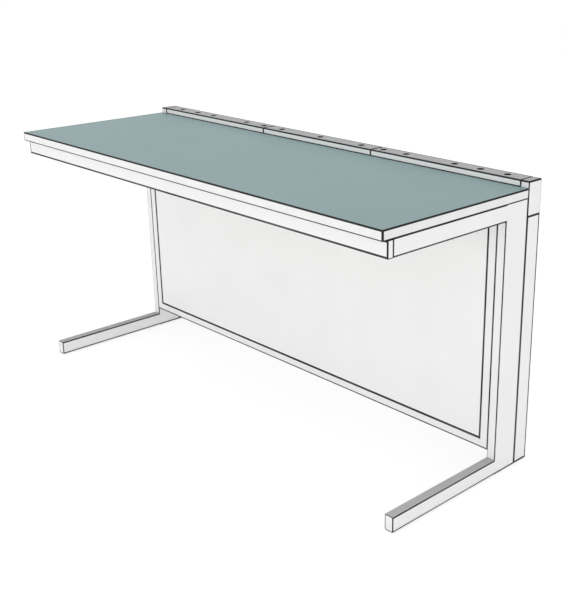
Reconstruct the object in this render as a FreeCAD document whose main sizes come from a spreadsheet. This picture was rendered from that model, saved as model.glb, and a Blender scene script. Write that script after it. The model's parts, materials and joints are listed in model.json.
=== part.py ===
import FreeCAD, Part
import math
import os
import re

import Sketcher
from FreeCAD import Placement, Rotation, Vector

# Laboratory bench on two C-frames, with a low service ledge along its rear edge.
# Millimetres. X runs along the bench to its right end, Y to its rear and Z up.
# The origin is on the floor, under the middle of the bench.

SIZES = (
    # Worktop
    ("bench_length", 1800, "length of the bench, over the C-frames"),
    ("worktop_depth", 600, "worktop, front to rear"),
    ("worktop_height", 880, "floor to the working surface"),
    ("worktop_thickness", 30, "worktop with its laminates"),
    ("laminate_thickness", 0.8, "sheet of laminate on each face of the worktop"),
    ("edging_thickness", 2, "strip on the front and the ends of the worktop"),
    # C-frames
    ("frame_width", 30, "width of the frame tubes along the bench"),
    ("tube_wall", 2, "wall of the frame tubes"),
    ("tube_bend", 0.5, "inner bend radius of the frame tubes"),
    ("upright_depth", 100, "upright, front to rear"),
    ("foot_height", 50, "foot with its scuff strip"),
    ("foot_setback", 50, "front edge of the worktop back to the foot's end"),
    ("floor_gap", 2, "floor up to the tubes, with the levellers wound in"),
    ("scuff_thickness", 1, "scuff strip on top of a foot"),
    ("scuff_inset", 0.5, "scuff strip's edge in from the foot's side"),
    ("arm_height", 50, "arm and front rail, top to bottom"),
    ("rail_thickness", 20, "front rail, front to rear"),
    ("rail_setback", 20, "front edge of the worktop back to the rail"),
    # Push-in caps of the tubes
    ("cap_flange", 2.5, "visible flange of a tube cap"),
    ("cap_spigot", 14, "length of a cap inside its tube"),
    ("cap_wall", 1.6, "wall of a cap's spigot"),
    ("push_fit", 0.1, "gap all round between a spigot and its tube"),
    # Back panel
    ("panel_bottom", 75, "floor up to the panel frame"),
    ("panel_tube", 30, "section of the panel frame's tubes"),
    ("panel_wall", 1.5, "wall of the panel frame's tubes"),
    ("infill_gap", 2, "gap all round the infill panel"),
    ("infill_recess", 1, "infill panel behind the frame's face"),
    ("infill_sheet", 1.5, "sheet of the infill panel"),
    ("infill_return", 15, "depth of the infill panel with its folded edges"),
    ("stud_inset", 26, "panel frame's inner edge to a stud"),
    ("stud_rise", 90, "inside corner of the panel frame up or down to a stud"),
    ("stud_radius", 4, "stud on the back of the infill panel"),
    ("stud_tip", 3, "length of a stud behind its clip"),
    ("stud_flange_radius", 9, "welded flange of a stud"),
    ("stud_flange", 1.5, "thickness of a stud's flange"),
    ("stud_play", 0.1, "gap all round a stud in its clip"),
    ("clip_gap", 0.3, "infill panel's folded edge to the clips"),
    ("clip_sheet", 2, "sheet of a clip"),
    ("clip_reach", 42, "clip, out from the panel frame"),
    ("clip_height", 30, "clip, top to bottom"),
    ("clip_foot", 11, "part of a clip that lies on the panel frame"),
    # Service ledge
    ("ledge_depth", 60, "rear posts and ledge, front to rear"),
    ("ledge_rise", 20, "worktop up to the top of the ledge"),
    ("ledge_body", 100, "ledge end caps, top to bottom"),
    ("middle_hood", 540, "middle cover section of the ledge, seam to seam"),
    ("seam_gap", 2, "gap between two cover sections"),
    ("hood_sheet", 1.5, "sheet of the cover sections"),
    ("hood_bend", 1.5, "outer bend radius of the cover sections"),
    ("lip_clearance", 3.5, "underside of the worktop up to the front lip's edge"),
    ("hood_gap", 0.5, "worktop to the front lip"),
    ("inlay_thickness", 1.5, "grey strip on top of the ledge"),
    ("inlay_inset", 0.8, "strip's edge in from the front and the rear"),
    ("ledge_cap_spigot", 25, "length of a ledge end cap inside its post"),
    ("service_rail_height", 40, "service rail between the posts, top to bottom"),
    ("service_rail_depth", 30, "service rail, front to rear"),
    ("hanger_width", 26, "bracket under the cover sections, along the bench"),
    ("hanger_sheet", 2, "sheet of those brackets"),
    ("hanger_play", 0.5, "gap between those brackets and the lips"),
    ("hanger_lip", 10, "front lip of those brackets"),
    ("hanger_foot", 40, "part of those brackets that lies on the service rail"),
    # Sockets in the ledge
    ("socket_pitch", 100, "pitch of the sockets along the ledge"),
    ("socket_end", 70, "ledge end cap to the first socket"),
    ("socket_edge", 20, "least distance from a seam to a socket"),
    ("socket_bore", 6.5, "radius of a socket's bore"),
    ("socket_depth", 45, "depth of a socket's bore"),
    ("socket_floor", 3, "floor of a socket"),
    ("socket_body", 9, "radius of a socket's threaded body"),
    ("socket_flange", 11, "radius of a socket's flange"),
    ("socket_nut_corner", 14, "corner radius of the nut under a socket"),
    ("socket_nut_height", 6, "height of that nut"),
    ("socket_play", 0.25, "gap all round a socket in the cover section"),
    # Bolts and rivet nuts of the panel frame and the posts
    ("bolt_radius", 4, "shank of a frame bolt"),
    ("bolt_length", 16, "shank of a frame bolt, under its head"),
    ("bolt_head", 6.5, "radius of a bolt's head"),
    ("bolt_head_height", 8, "height of a bolt's head"),
    ("bolt_key", 3.46, "corner radius of the hexagon in a bolt's head"),
    ("bolt_key_depth", 4, "depth of that hexagon"),
    ("bolt_play", 0.3, "gap all round a bolt in the tube that it holds"),
    ("bolt_end", 110, "end of the posts and stiles to the nearest bolt"),
    ("access_radius", 7.5, "hole through which a bolt's head goes in"),
    ("rivet_nut_radius", 5.5, "body of a rivet nut"),
    ("rivet_nut_length", 17, "length of a rivet nut"),
    ("rivet_nut_bulge", 7.5, "radius of the bulge that grips the wall"),
    ("rivet_nut_bulge_length", 3, "length of that bulge"),
    ("thread_gap", 0.05, "gap all round a thread in its nut or hole"),
    # Angle brackets and their screws
    ("bracket_leg", 30, "leg of an angle bracket"),
    ("bracket_sheet", 2.5, "thickness of an angle bracket"),
    ("bracket_width", 30, "width of an angle bracket"),
    ("bracket_hole", 18, "corner of an angle bracket to its holes"),
    ("bracket_play", 0.3, "gap all round a screw in an angle bracket"),
    ("rail_bracket_pitch", 560, "pitch of the brackets on the front rail and panel"),
    ("arm_bracket_inset", 95, "ends of an arm to its brackets"),
    ("screw_radius", 3, "screw into a tube"),
    ("screw_length", 10, "shank of a screw into a tube"),
    ("screw_head", 5.5, "radius of that screw's head"),
    ("screw_head_height", 3.2, "height of that screw's head"),
    ("wood_screw_radius", 2.5, "screw into the worktop"),
    ("wood_screw_length", 20, "shank of a screw into the worktop"),
    ("wood_screw_head", 5, "radius of that screw's head"),
    ("wood_screw_head_height", 2.6, "height of that screw's head"),
    # Levellers
    ("leveller_inset", 5, "foot's end cap to the front threaded block"),
    ("pad_radius", 10, "pad of a leveller"),
    ("pad_height", 8, "height of a pad"),
    ("pad_floor", 2, "floor of a pad"),
    ("pad_key_hole", 3.5, "radius of the hole in a pad for the hexagon key"),
    ("pad_gap", 0.5, "gap all round a pad in its tube"),
    ("neck_gap", 0.3, "gap all round a spindle in its pad's neck"),
    ("swivel_gap", 0.05, "gap round a spindle's collar in its pad"),
    ("spindle_radius", 5, "thread of a leveller"),
    ("spindle_collar", 7, "radius of a spindle's collar"),
    ("spindle_collar_height", 3, "height of that collar"),
    ("spindle_top", 46, "floor to the top of a spindle"),
    ("spindle_key", 2.9, "corner radius of the hexagon in a spindle"),
    ("nut_block_length", 40, "threaded block of a leveller, front to rear"),
    ("nut_block_height", 12, "threaded block, top to bottom"),
    ("nut_block_bottom", 16, "floor up to the threaded block"),
)

# Places that follow from the sizes, as formulas of the sizes and of one another.
PLACES = {
    "end_face": "bench_length / 2",
    "frame_inner": "end_face - frame_width",
    "frame_middle": "end_face - frame_width / 2",
    "front_edge": "-(worktop_depth + ledge_depth) / 2",
    "worktop_rear": "front_edge + worktop_depth",
    "ledge_rear": "worktop_rear + ledge_depth",
    "ledge_middle": "worktop_rear + ledge_depth / 2",
    "frame_top": "worktop_height - worktop_thickness",
    "arm_bottom": "frame_top - arm_height",
    "arm_middle": "frame_top - arm_height / 2",
    "tube_radius": "tube_wall + tube_bend",
    "weld_reach": "tube_wall - tube_bend",
    "upright_front": "worktop_rear - upright_depth",
    "upright_middle": "worktop_rear - upright_depth / 2",
    "foot_front": "front_edge + foot_setback",
    "foot_tube_height": "foot_height - scuff_thickness",
    "rail_front": "front_edge + rail_setback",
    "rail_rear": "rail_front + rail_thickness",
    "panel_rear": "upright_front + panel_tube",
    "stile_middle": "upright_front + panel_tube / 2",
    "panel_height": "frame_top - panel_bottom",
    "infill_front": "upright_front + infill_recess",
    "infill_rear": "infill_front + infill_return",
    "infill_width": "2 * (frame_inner - panel_tube - infill_gap)",
    "infill_bottom": "panel_bottom + panel_tube + infill_gap",
    "infill_height": "panel_height - 2 * (panel_tube + infill_gap)",
    "clip_front": "infill_rear + clip_gap",
    "stud_side": "frame_inner - panel_tube - stud_inset",
    "stud_low": "panel_bottom + panel_tube + stud_rise",
    "stud_high": "frame_top - panel_tube - stud_rise",
    "ledge_top": "worktop_height + ledge_rise",
    "ledge_bottom": "ledge_top - ledge_body",
    "hood_top": "ledge_top - inlay_thickness",
    "hood_front_face": "worktop_rear + hood_gap",
    "hood_lip_bottom": "frame_top + lip_clearance",
    "hood_seam": "middle_hood / 2",
    "service_rail_bottom": "ledge_bottom - service_rail_height",
    "hanger_top": "hood_top - hood_sheet",
    "first_socket": "frame_inner - socket_end",
    "core_bottom": "frame_top + laminate_thickness",
    "core_top": "worktop_height - laminate_thickness",
    "bolt_low": "panel_bottom + bolt_end",
    "bolt_high": "arm_bottom - bolt_end",
    "front_leveller": "foot_front + cap_flange + cap_spigot + leveller_inset + nut_block_length / 2",
}

# How a piece is turned from its own axes into the bench's axes.
UP = Rotation()
HALF_TURN = Rotation(Vector(0, 0, 1), 180)
QUARTER_TURN = Rotation(Vector(0, 0, 1), 90)
TO_FRONT = Rotation(Vector(1, 0, 0), 90)
TO_REAR = Rotation(Vector(1, 0, 0), -90)
TO_RIGHT = Rotation(Vector(1, 1, 1), 120)
TO_LEFT = HALF_TURN * TO_RIGHT

SIDES = {"left": "-", "right": ""}

doc = FreeCAD.newDocument("lab_bench")
sheet = doc.addObject("Spreadsheet::Sheet", "sizes")
nodes = []


# ---------------------------------------------------------------- formulas and placing

def fill_sheet():
    """Writes every driving size to its own named cell, with what it is beside it."""
    for row, (alias, value, meaning) in enumerate(SIZES, 1):
        sheet.set(f"A{row}", meaning)
        sheet.set(f"B{row}", str(value))
        sheet.setAlias(f"B{row}", alias)
    doc.recompute()


def spelled_out(formula, prefix=""):
    """A formula with its places worked back to sizes, each with the prefix before it."""

    def word(match):
        name = match.group(0)
        if name in PLACES:
            return "(" + spelled_out(PLACES[name], prefix) + ")"
        return prefix + name

    return re.sub(r"[a-z]+(?:_[a-z]+)*", word, formula)


def number(formula):
    """The value of a formula now, in millimetres."""
    return float(sheet.evalExpression(spelled_out(formula)))


def bind(piece, **formulas):
    """Ties properties of a piece to formulas."""
    for name, formula in formulas.items():
        piece.setExpression(name, spelled_out(formula, "sizes."))


def place(piece, x="0", y="0", z="0", turn=UP):
    """Turns a piece and ties the place of its own origin to formulas."""
    piece.Placement = Placement(Vector(), turn)
    for axis, formula in zip("xyz", (x, y, z)):
        piece.setExpression("Placement.Base." + axis, spelled_out(formula, "sizes."))
    return piece


def carried(turn, base, offset):
    """The formulas of a point at an offset along the turned axes from a base point."""
    axes = [turn.multVec(Vector(*axis)) for axis in ((1, 0, 0), (0, 1, 0), (0, 0, 1))]
    point = []
    for along, start in enumerate(base):
        for axis, formula in zip(axes, offset):
            sign = {1: "+", -1: "-"}.get(round(axis[along]))
            if sign and formula != "0":
                start = f"{start} {sign} ({formula})"
        point.append(start)
    return point


def node(piece, label):
    """Names a finished piece and puts it on the list of pieces to write."""
    piece.Label = label
    nodes.append(piece)
    return piece


# ---------------------------------------------------------------- shapes

def box(name, length, width, height, x="0", y="0", z="0"):
    """A block with its lowest corner at x, y, z."""
    piece = doc.addObject("Part::Box", name)
    bind(piece, Length=length, Width=width, Height=height)
    return place(piece, x, y, z)


def rod(name, radius, length, x="0", y="0", z="0", turn=UP):
    """A round bar that starts at x, y, z and runs along its turned Z axis."""
    piece = doc.addObject("Part::Cylinder", name)
    bind(piece, Radius=radius, Height=length)
    return place(piece, x, y, z, turn)


def hexagon(name, corner, length, x="0", y="0", z="0", turn=UP):
    """A six-sided bar that starts at x, y, z and runs along its turned Z axis."""
    piece = doc.addObject("Part::Prism", name)
    piece.Polygon = 6
    bind(piece, Circumradius=corner, Height=length)
    return place(piece, x, y, z, turn)


def drill(name, radius, sheet, x, y, z, turn=UP):
    """Cutter for a hole through a sheet with its near face at x, y, z, past both faces."""
    start = carried(turn, (x, y, z), ("0", "0", f"-({sheet})"))
    return rod(name, radius, f"3 * ({sheet})", *start, turn)


def without(name, piece, tools):
    """A piece with the tools cut out of it."""
    cutters = doc.addObject("Part::Compound", name + "_cutters")
    cutters.Links = tools
    cut = doc.addObject("Part::Cut", name)
    cut.Base = piece
    cut.Tool = cutters
    return cut


def copies(label, master, seats):
    """A node of separate solids: the master at each seat, which is (turn, (x, y, z))."""
    group = doc.addObject("Part::Compound", label)
    links = []
    for count, (turn, point) in enumerate(seats, 1):
        link = doc.addObject("App::Link", f"{label}_{count}")
        link.LinkedObject = master
        links.append(place(link, *point, turn))
    group.Links = links
    return node(group, label)


def section(body, name, start="0"):
    """An empty sketch across a body, at a height along its Z axis."""
    sketch = body.newObject("Sketcher::SketchObject", name)
    planes = [plane for plane in body.Origin.OriginFeatures if plane.Role == "XY_Plane"]
    sketch.AttachmentSupport = [(planes[0], "")]
    sketch.MapMode = "FlatFace"
    sketch.setExpression("AttachmentOffset.Base.z", spelled_out(start, "sizes."))
    return sketch


def constrain(sketch, kind, *where, formula):
    """Adds a dimension to a sketch and ties it to a formula."""
    index = sketch.addConstraint(Sketcher.Constraint(kind, *where, number(formula)))
    sketch.setExpression(f"Constraints[{index}]", spelled_out(formula, "sizes."))


def rounded_rectangle(sketch, across, deep, radius):
    """Draws a rectangle with round corners, centred on the sketch's origin."""
    bend = number(radius)
    reach_x = number(across) / 2 - bend
    reach_y = number(deep) / 2 - bend
    arcs = []
    for corner, (way_x, way_y) in enumerate(((1, 1), (-1, 1), (-1, -1), (1, -1))):
        circle = Part.Circle(Vector(way_x * reach_x, way_y * reach_y, 0), Vector(0, 0, 1), bend)
        start = corner * math.pi / 2
        arcs.append(sketch.addGeometry(Part.ArcOfCircle(circle, start, start + math.pi / 2)))
    sides = []
    for arc, following in zip(arcs, arcs[1:] + arcs[:1]):
        line = Part.LineSegment(sketch.getPoint(arc, 2), sketch.getPoint(following, 1))
        sides.append(sketch.addGeometry(line))
    for arc, side, following in zip(arcs, sides, arcs[1:] + arcs[:1]):
        sketch.addConstraint(Sketcher.Constraint("Tangent", arc, 2, side, 1))
        sketch.addConstraint(Sketcher.Constraint("Tangent", side, 2, following, 1))
    for side, way in zip(sides, ("Horizontal", "Vertical", "Horizontal", "Vertical")):
        sketch.addConstraint(Sketcher.Constraint(way, side))
    for arc in arcs[1:]:
        sketch.addConstraint(Sketcher.Constraint("Equal", arcs[0], arc))
    sketch.addConstraint(Sketcher.Constraint("Symmetric", arcs[0], 3, arcs[2], 3, -1, 1))
    constrain(sketch, "Radius", arcs[0], formula=radius)
    constrain(sketch, "DistanceX", arcs[1], 2, arcs[0], 1, formula=across)
    constrain(sketch, "DistanceY", arcs[2], 2, arcs[1], 1, formula=deep)


def outline(sketch, points):
    """Draws a closed outline through points given as pairs of formulas."""
    corners = [Vector(number(x), number(y), 0) for x, y in points]
    for start, end in zip(corners, corners[1:] + corners[:1]):
        sketch.addGeometry(Part.LineSegment(start, end))
    for line in range(len(points)):
        following = (line + 1) % len(points)
        sketch.addConstraint(Sketcher.Constraint("Coincident", line, 2, following, 1))
    for line, (x, y) in enumerate(points):
        constrain(sketch, "DistanceX", -1, 1, line, 1, formula=x)
        constrain(sketch, "DistanceY", -1, 1, line, 1, formula=y)


def new_body(name):
    """An empty body."""
    return doc.addObject("PartDesign::Body", name)


def pad(body, name, sketch, length):
    """Pads a sketch of a body along the body's Z axis."""
    feature = body.newObject("PartDesign::Pad", name)
    feature.Profile = sketch
    bind(feature, Length=length)
    body.Tip = feature
    return feature


def pad_rectangles(body, name, start, length, *rectangles):
    """Pads a rounded rectangle, or the wall between two, from a height along Z."""
    sketch = section(body, name + "_section", start)
    for rectangle in rectangles:
        rounded_rectangle(sketch, *rectangle)
    return pad(body, name, sketch, length)


def tube(name, across, deep, length, wall="tube_wall"):
    """Rectangular hollow section along Z, centred on it: across in X and deep in Y."""
    body = new_body(name)
    outer = (across, deep, f"{wall} + tube_bend")
    inner = (f"{across} - 2 * {wall}", f"{deep} - 2 * {wall}", "tube_bend")
    pad_rectangles(body, name + "_wall", "0", length, outer, inner)
    return body


def folded(name, points, length):
    """Folded sheet whose profile runs along the body's Z axis."""
    body = new_body(name)
    sketch = section(body, name + "_profile")
    outline(sketch, points)
    pad(body, name + "_sheet", sketch, length)
    return body


def turned(name, points):
    """Turned piece about the body's Z axis, from an outline of radius and height."""
    body = new_body(name)
    sketch = body.newObject("Sketcher::SketchObject", name + "_profile")
    planes = [plane for plane in body.Origin.OriginFeatures if plane.Role == "XZ_Plane"]
    sketch.AttachmentSupport = [(planes[0], "")]
    sketch.MapMode = "FlatFace"
    outline(sketch, points)
    spin = body.newObject("PartDesign::Revolution", name + "_turned")
    spin.Profile = sketch
    spin.ReferenceAxis = (sketch, ["V_Axis"])
    spin.Angle = 360
    body.Tip = spin
    return body


def tube_cap(name, across, deep):
    """Push-in cap of a tube: its outer face at Z = 0, its spigot reaching down -Z."""
    body = new_body(name)
    outer = (across, deep, "tube_radius")
    spigot = (
        f"{across} - 2 * (tube_wall + push_fit)",
        f"{deep} - 2 * (tube_wall + push_fit)",
        "tube_bend",
    )
    cavity = (
        f"{across} - 2 * (tube_wall + push_fit + cap_wall)",
        f"{deep} - 2 * (tube_wall + push_fit + cap_wall)",
        "tube_bend",
    )
    pad_rectangles(body, name + "_flange", "-cap_flange", "cap_flange", outer)
    pad_rectangles(body, name + "_spigot", "-cap_flange - cap_spigot", "cap_spigot", spigot, cavity)
    return body


# ---------------------------------------------------------------- fasteners

def bracket_seats():
    """Every angle bracket's seat, by the tube that it is fixed to."""
    seats = {}
    for side, sign in SIDES.items():
        inward = HALF_TURN if side == "right" else UP
        corner = Rotation(Vector(0, 1, 0), 180) * TO_FRONT if side == "right" else TO_FRONT
        inner = f"{sign}frame_inner"
        seats["arm_" + side] = [
            (inward, (inner, "rail_rear + arm_bracket_inset", "frame_top")),
            (inward, (inner, "upright_front - arm_bracket_inset", "frame_top")),
        ]
        seats["corner_" + side] = [(corner, (inner, "rail_rear", "arm_middle"))]
        seats["post_" + side] = [(inward, (inner, "ledge_middle", "service_rail_bottom"))]
    along = ("-rail_bracket_pitch", "0", "rail_bracket_pitch")
    seats["front_rail"] = [(QUARTER_TURN, (x, "rail_rear", "frame_top")) for x in along]
    seats["panel_top"] = [(QUARTER_TURN, (x, "panel_rear", "frame_top")) for x in along]
    return seats


UNDER_WORKTOP = ("arm_left", "arm_right", "front_rail", "panel_top")
FLAT_HOLE = ("bracket_hole", "0", "0")
UPRIGHT_HOLE = ("0", "0", "-bracket_hole")


def flat_leg(seat, depth="0"):
    """Turn and point of the hole in the leg at a bracket's top, depth below its face."""
    turn, base = seat
    return turn, carried(turn, carried(turn, base, FLAT_HOLE), ("0", "0", f"-({depth})"))


def upright_leg(seat, depth="0"):
    """Turn and point of the hole in the leg at a bracket's back, depth inside its face."""
    turn, base = seat
    outward = turn * Rotation(Vector(0, 1, 0), -90)
    return outward, carried(turn, carried(turn, base, UPRIGHT_HOLE), (depth, "0", "0"))


def screw_holes(name, seats, leg):
    """Cutters for the screws that pass a bracket's leg into a tube's wall."""
    cutters = []
    for count, seat in enumerate(seats, 1):
        turn, point = leg(seat)
        reach = "screw_length - bracket_sheet"
        cutters.append(rod(f"{name}_{count}", "screw_radius + thread_gap", reach, *point, turn))
    return cutters


def headed(name, shank, length, head, head_height):
    """A plain screw: its shank runs up from Z = 0 and its head lies below."""
    return turned(name, [
        ("0", f"-{head_height}"), (head, f"-{head_height}"), (head, "0"),
        (shank, "0"), (shank, length), ("0", length),
    ])


def angle_brackets(seats):
    """The angle brackets, the screws into the tubes and the screws into the worktop."""
    angle = folded("bracket_blank", [
        ("0", "0"), ("0", "-bracket_leg"), ("bracket_sheet", "-bracket_leg"),
        ("bracket_sheet", "-bracket_sheet"), ("bracket_leg", "-bracket_sheet"), ("bracket_leg", "0"),
    ], "bracket_width")
    place(angle, y="bracket_width / 2", turn=TO_FRONT)
    hole = ("screw_radius + bracket_play", "bracket_sheet")
    bracket = without("bracket", angle, [
        drill("bracket_flat_hole", *hole, "bracket_hole", "0", "-bracket_sheet"),
        drill("bracket_upright_hole", *hole, "0", "0", "-bracket_hole", Rotation(Vector(0, 1, 0), 90)),
    ])
    every = [seat for places in seats.values() for seat in places]
    copies("angle_brackets", bracket, every)

    wooden = [seat for name in UNDER_WORKTOP for seat in seats[name]]
    metal = [seat for name in seats if name not in UNDER_WORKTOP for seat in seats[name]]
    screw = headed("tube_screw", "screw_radius", "screw_length", "screw_head", "screw_head_height")
    tube_seats = [upright_leg(seat, "bracket_sheet") for seat in every]
    tube_seats += [flat_leg(seat, "bracket_sheet") for seat in metal]
    copies("bracket_screws", screw, tube_seats)

    wood_screw = headed("worktop_screw", "wood_screw_radius", "wood_screw_length",
                        "wood_screw_head", "wood_screw_head_height")
    copies("worktop_screws", wood_screw, [flat_leg(seat, "bracket_sheet") for seat in wooden])


def bolt_seats():
    """Turn and point under the head of each frame bolt, and the tube that it holds."""
    seats = {}
    for side, sign in SIDES.items():
        outward = TO_RIGHT if side == "right" else TO_LEFT
        heights = ("bolt_low", "bolt_high")
        x = f"{sign}(frame_inner - panel_wall)"
        seats["stile_" + side] = [(outward, (x, "stile_middle", z)) for z in heights]
        x = f"{sign}frame_middle"
        seats["post_" + side] = [(TO_FRONT, (x, "worktop_rear + tube_wall", z)) for z in heights]
    return seats


def bolt_holes(name, seats, wall, depth):
    """Cutters in a bolted tube: the bolt's hole in one wall, and the way in opposite."""
    cutters = []
    for count, (turn, point) in enumerate(seats, 1):
        cutters.append(drill(f"{name}_hole_{count}", "bolt_radius + bolt_play", wall, *point, turn))
        back = carried(turn, point, ("0", "0", f"-{depth}"))
        cutters.append(rod(f"{name}_access_{count}", "access_radius",
                           f"{depth} - bolt_head_height", *back, turn))
    return cutters


def rivet_nut_seats(side, sign):
    """Turn and point of each rivet nut in one upright, flush with the tube's face."""
    outward = TO_RIGHT if side == "right" else TO_LEFT
    seats = [(outward, (f"{sign}frame_inner", "stile_middle", z)) for z in ("bolt_low", "bolt_high")]
    seats += [(TO_FRONT, (f"{sign}frame_middle", "worktop_rear", z)) for z in ("bolt_low", "bolt_high")]
    return seats


def frame_bolts(seats):
    """The bolts of the panel frame and the posts, and the rivet nuts that they go into."""
    head = headed("bolt_blank", "bolt_radius", "bolt_length", "bolt_head", "bolt_head_height")
    bolt = without("bolt", head, [
        hexagon("bolt_socket", "bolt_key", "bolt_key_depth", z="-bolt_head_height"),
    ])
    copies("frame_bolts", bolt, [seat for places in seats.values() for seat in places])

    rivet_nut = turned("rivet_nut", [
        ("bolt_radius + thread_gap", "0"), ("rivet_nut_radius", "0"),
        ("rivet_nut_radius", "tube_wall + push_fit"), ("rivet_nut_bulge", "tube_wall + push_fit"),
        ("rivet_nut_bulge", "tube_wall + push_fit + rivet_nut_bulge_length"),
        ("rivet_nut_radius", "tube_wall + push_fit + rivet_nut_bulge_length"),
        ("rivet_nut_radius", "rivet_nut_length"), ("bolt_radius + thread_gap", "rivet_nut_length"),
    ])
    both = rivet_nut_seats("left", "-") + rivet_nut_seats("right", "")
    copies("rivet_nuts", rivet_nut, both)


# ---------------------------------------------------------------- sub-assemblies

def worktop(seats):
    """Chipboard core between two laminates, with edging on the front and the ends."""
    front = "front_edge + edging_thickness"
    core_length = "bench_length - 2 * edging_thickness"
    core_depth = "worktop_depth - edging_thickness"
    left = "-end_face + edging_thickness"
    band_height = "worktop_thickness - laminate_thickness"

    node(box("worktop_surface", "bench_length", "worktop_depth", "laminate_thickness",
             "-end_face", "front_edge", "core_top"), "worktop_surface")
    wooden = [seat for name in UNDER_WORKTOP for seat in seats[name]]
    for label, height, bottom in (
        ("worktop_core", "worktop_thickness - 2 * laminate_thickness", "core_bottom"),
        ("worktop_backing", "laminate_thickness", "frame_top"),
    ):
        board = box(label + "_board", core_length, core_depth, height, left, front, bottom)
        pilots = [
            rod(f"{label}_pilot_{count}", "wood_screw_radius + thread_gap",
                "wood_screw_length - bracket_sheet", *flat_leg(seat)[1])
            for count, seat in enumerate(wooden, 1)
        ]
        node(without(label, board, pilots), label)

    node(box("edge_band_front", "bench_length", "edging_thickness", band_height,
             "-end_face", "front_edge", "frame_top"), "edge_band_front")
    for side, x in (("left", "-end_face"), ("right", "end_face - edging_thickness")):
        label = "edge_band_" + side
        node(box(label, "edging_thickness", core_depth, band_height, x, front, "frame_top"), label)


def side_frame(side, sign, seats):
    """One C-frame: upright, foot and arm, coped and welded flush, with cap and strip."""
    middle = f"{sign}frame_middle"
    upright = tube(f"upright_{side}_tube", "frame_width", "upright_depth", "frame_top - floor_gap")
    place(upright, middle, "upright_middle", "floor_gap")
    nut_holes = []
    for count, (turn, point) in enumerate(rivet_nut_seats(side, sign), 1):
        nut_holes.append(drill(f"upright_{side}_hole_{count}", "rivet_nut_radius + thread_gap",
                               "tube_wall", *point, turn))
    node(without(f"upright_{side}", upright, nut_holes), f"upright_{side}")

    foot = tube(f"foot_{side}_blank", "frame_width", "foot_tube_height",
                "upright_front + weld_reach - foot_front - cap_flange")
    foot_middle = "floor_gap + foot_tube_height / 2"
    place(foot, middle, "upright_front + weld_reach", foot_middle, TO_FRONT)
    pad_hole = drill(f"foot_{side}_pad_hole", "pad_radius + pad_gap", "tube_wall",
                     middle, "front_leveller", "floor_gap")
    node(without(f"foot_tube_{side}", foot, [upright, pad_hole]), f"foot_tube_{side}")

    cap = tube_cap(f"foot_end_cap_{side}", "frame_width", "foot_tube_height")
    node(place(cap, middle, "foot_front", foot_middle, TO_FRONT), f"foot_end_cap_{side}")

    strip = box(f"foot_scuff_strip_{side}", "frame_width - 2 * scuff_inset",
                "upright_front - foot_front", "scuff_thickness",
                f"{middle} - frame_width / 2 + scuff_inset", "foot_front",
                "floor_gap + foot_tube_height")
    node(strip, f"foot_scuff_strip_{side}")

    arm = tube(f"arm_{side}_blank", "frame_width", "arm_height",
               "upright_front + weld_reach - rail_rear")
    place(arm, middle, "upright_front + weld_reach", "arm_middle", TO_FRONT)
    holes = screw_holes(f"arm_{side}_screw", seats["arm_" + side], upright_leg)
    holes += screw_holes(f"arm_{side}_corner_screw", seats["corner_" + side], upright_leg)
    node(without(f"arm_tube_{side}", arm, [upright, *holes]), f"arm_tube_{side}")


def front_rail(seats):
    """Rail across the front ends of the arms, with a cap in each end."""
    rail = tube("front_rail_tube", "rail_thickness", "arm_height", "bench_length - 2 * cap_flange")
    place(rail, "-end_face + cap_flange", "rail_front + rail_thickness / 2", "arm_middle", TO_RIGHT)
    holes = screw_holes("front_rail_screw", seats["front_rail"], upright_leg)
    for side in SIDES:
        holes += screw_holes(f"front_rail_{side}_screw", seats["corner_" + side], flat_leg)
    node(without("front_rail", rail, holes), "front_rail")
    for side, sign in SIDES.items():
        cap = tube_cap(f"front_rail_cap_{side}", "rail_thickness", "arm_height")
        turn = TO_RIGHT if side == "right" else TO_LEFT
        place(cap, f"{sign}end_face", "rail_front + rail_thickness / 2", "arm_middle", turn)
        node(cap, f"front_rail_cap_{side}")


def mitred_tube(name, length):
    """Panel frame tube along X, mitred at both ends; its outer face lies at Y = 0."""
    blank = tube(name + "_blank", "panel_tube", "panel_tube", length, "panel_wall")
    place(blank, "0", "panel_tube / 2", "panel_tube / 2", TO_RIGHT)
    mitres = doc.addObject("Part::Wedge", name + "_mitres")
    bind(mitres, Xmin="0", Xmax=length, X2min="panel_tube", X2max=f"{length} - panel_tube")
    bind(mitres, Ymin="0", Ymax="panel_tube")
    bind(mitres, Zmin="0", Zmax="panel_tube", Z2min="0", Z2max="panel_tube")
    piece = doc.addObject("Part::Common", name)
    piece.Base = blank
    piece.Tool = mitres
    return piece


def panel_frame(seats, bolts):
    """Mitred and welded frame between the uprights, flush with their front faces."""
    width = "2 * frame_inner"
    bottom = mitred_tube("panel_frame_bottom", width)
    place(bottom, "-frame_inner", "panel_rear", "panel_bottom", TO_FRONT)
    node(bottom, "panel_frame_bottom")

    top = mitred_tube("panel_frame_top_blank", width)
    place(top, "-frame_inner", "upright_front", "frame_top", TO_REAR)
    holes = screw_holes("panel_top_screw", seats["panel_top"], upright_leg)
    node(without("panel_frame_top", top, holes), "panel_frame_top")

    for side, sign, base_z, turn in (
        ("left", "-", "frame_top", Rotation(Vector(0, 1, 0), 90)),
        ("right", "", "panel_bottom", Rotation(Vector(0, 1, 0), -90)),
    ):
        stile = mitred_tube(f"panel_frame_{side}_blank", "panel_height")
        place(stile, f"{sign}frame_inner", "panel_rear", base_z, turn * TO_FRONT)
        holes = bolt_holes(f"panel_frame_{side}", bolts["stile_" + side], "panel_wall", "panel_tube")
        node(without(f"panel_frame_{side}", stile, holes), f"panel_frame_{side}")


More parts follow.
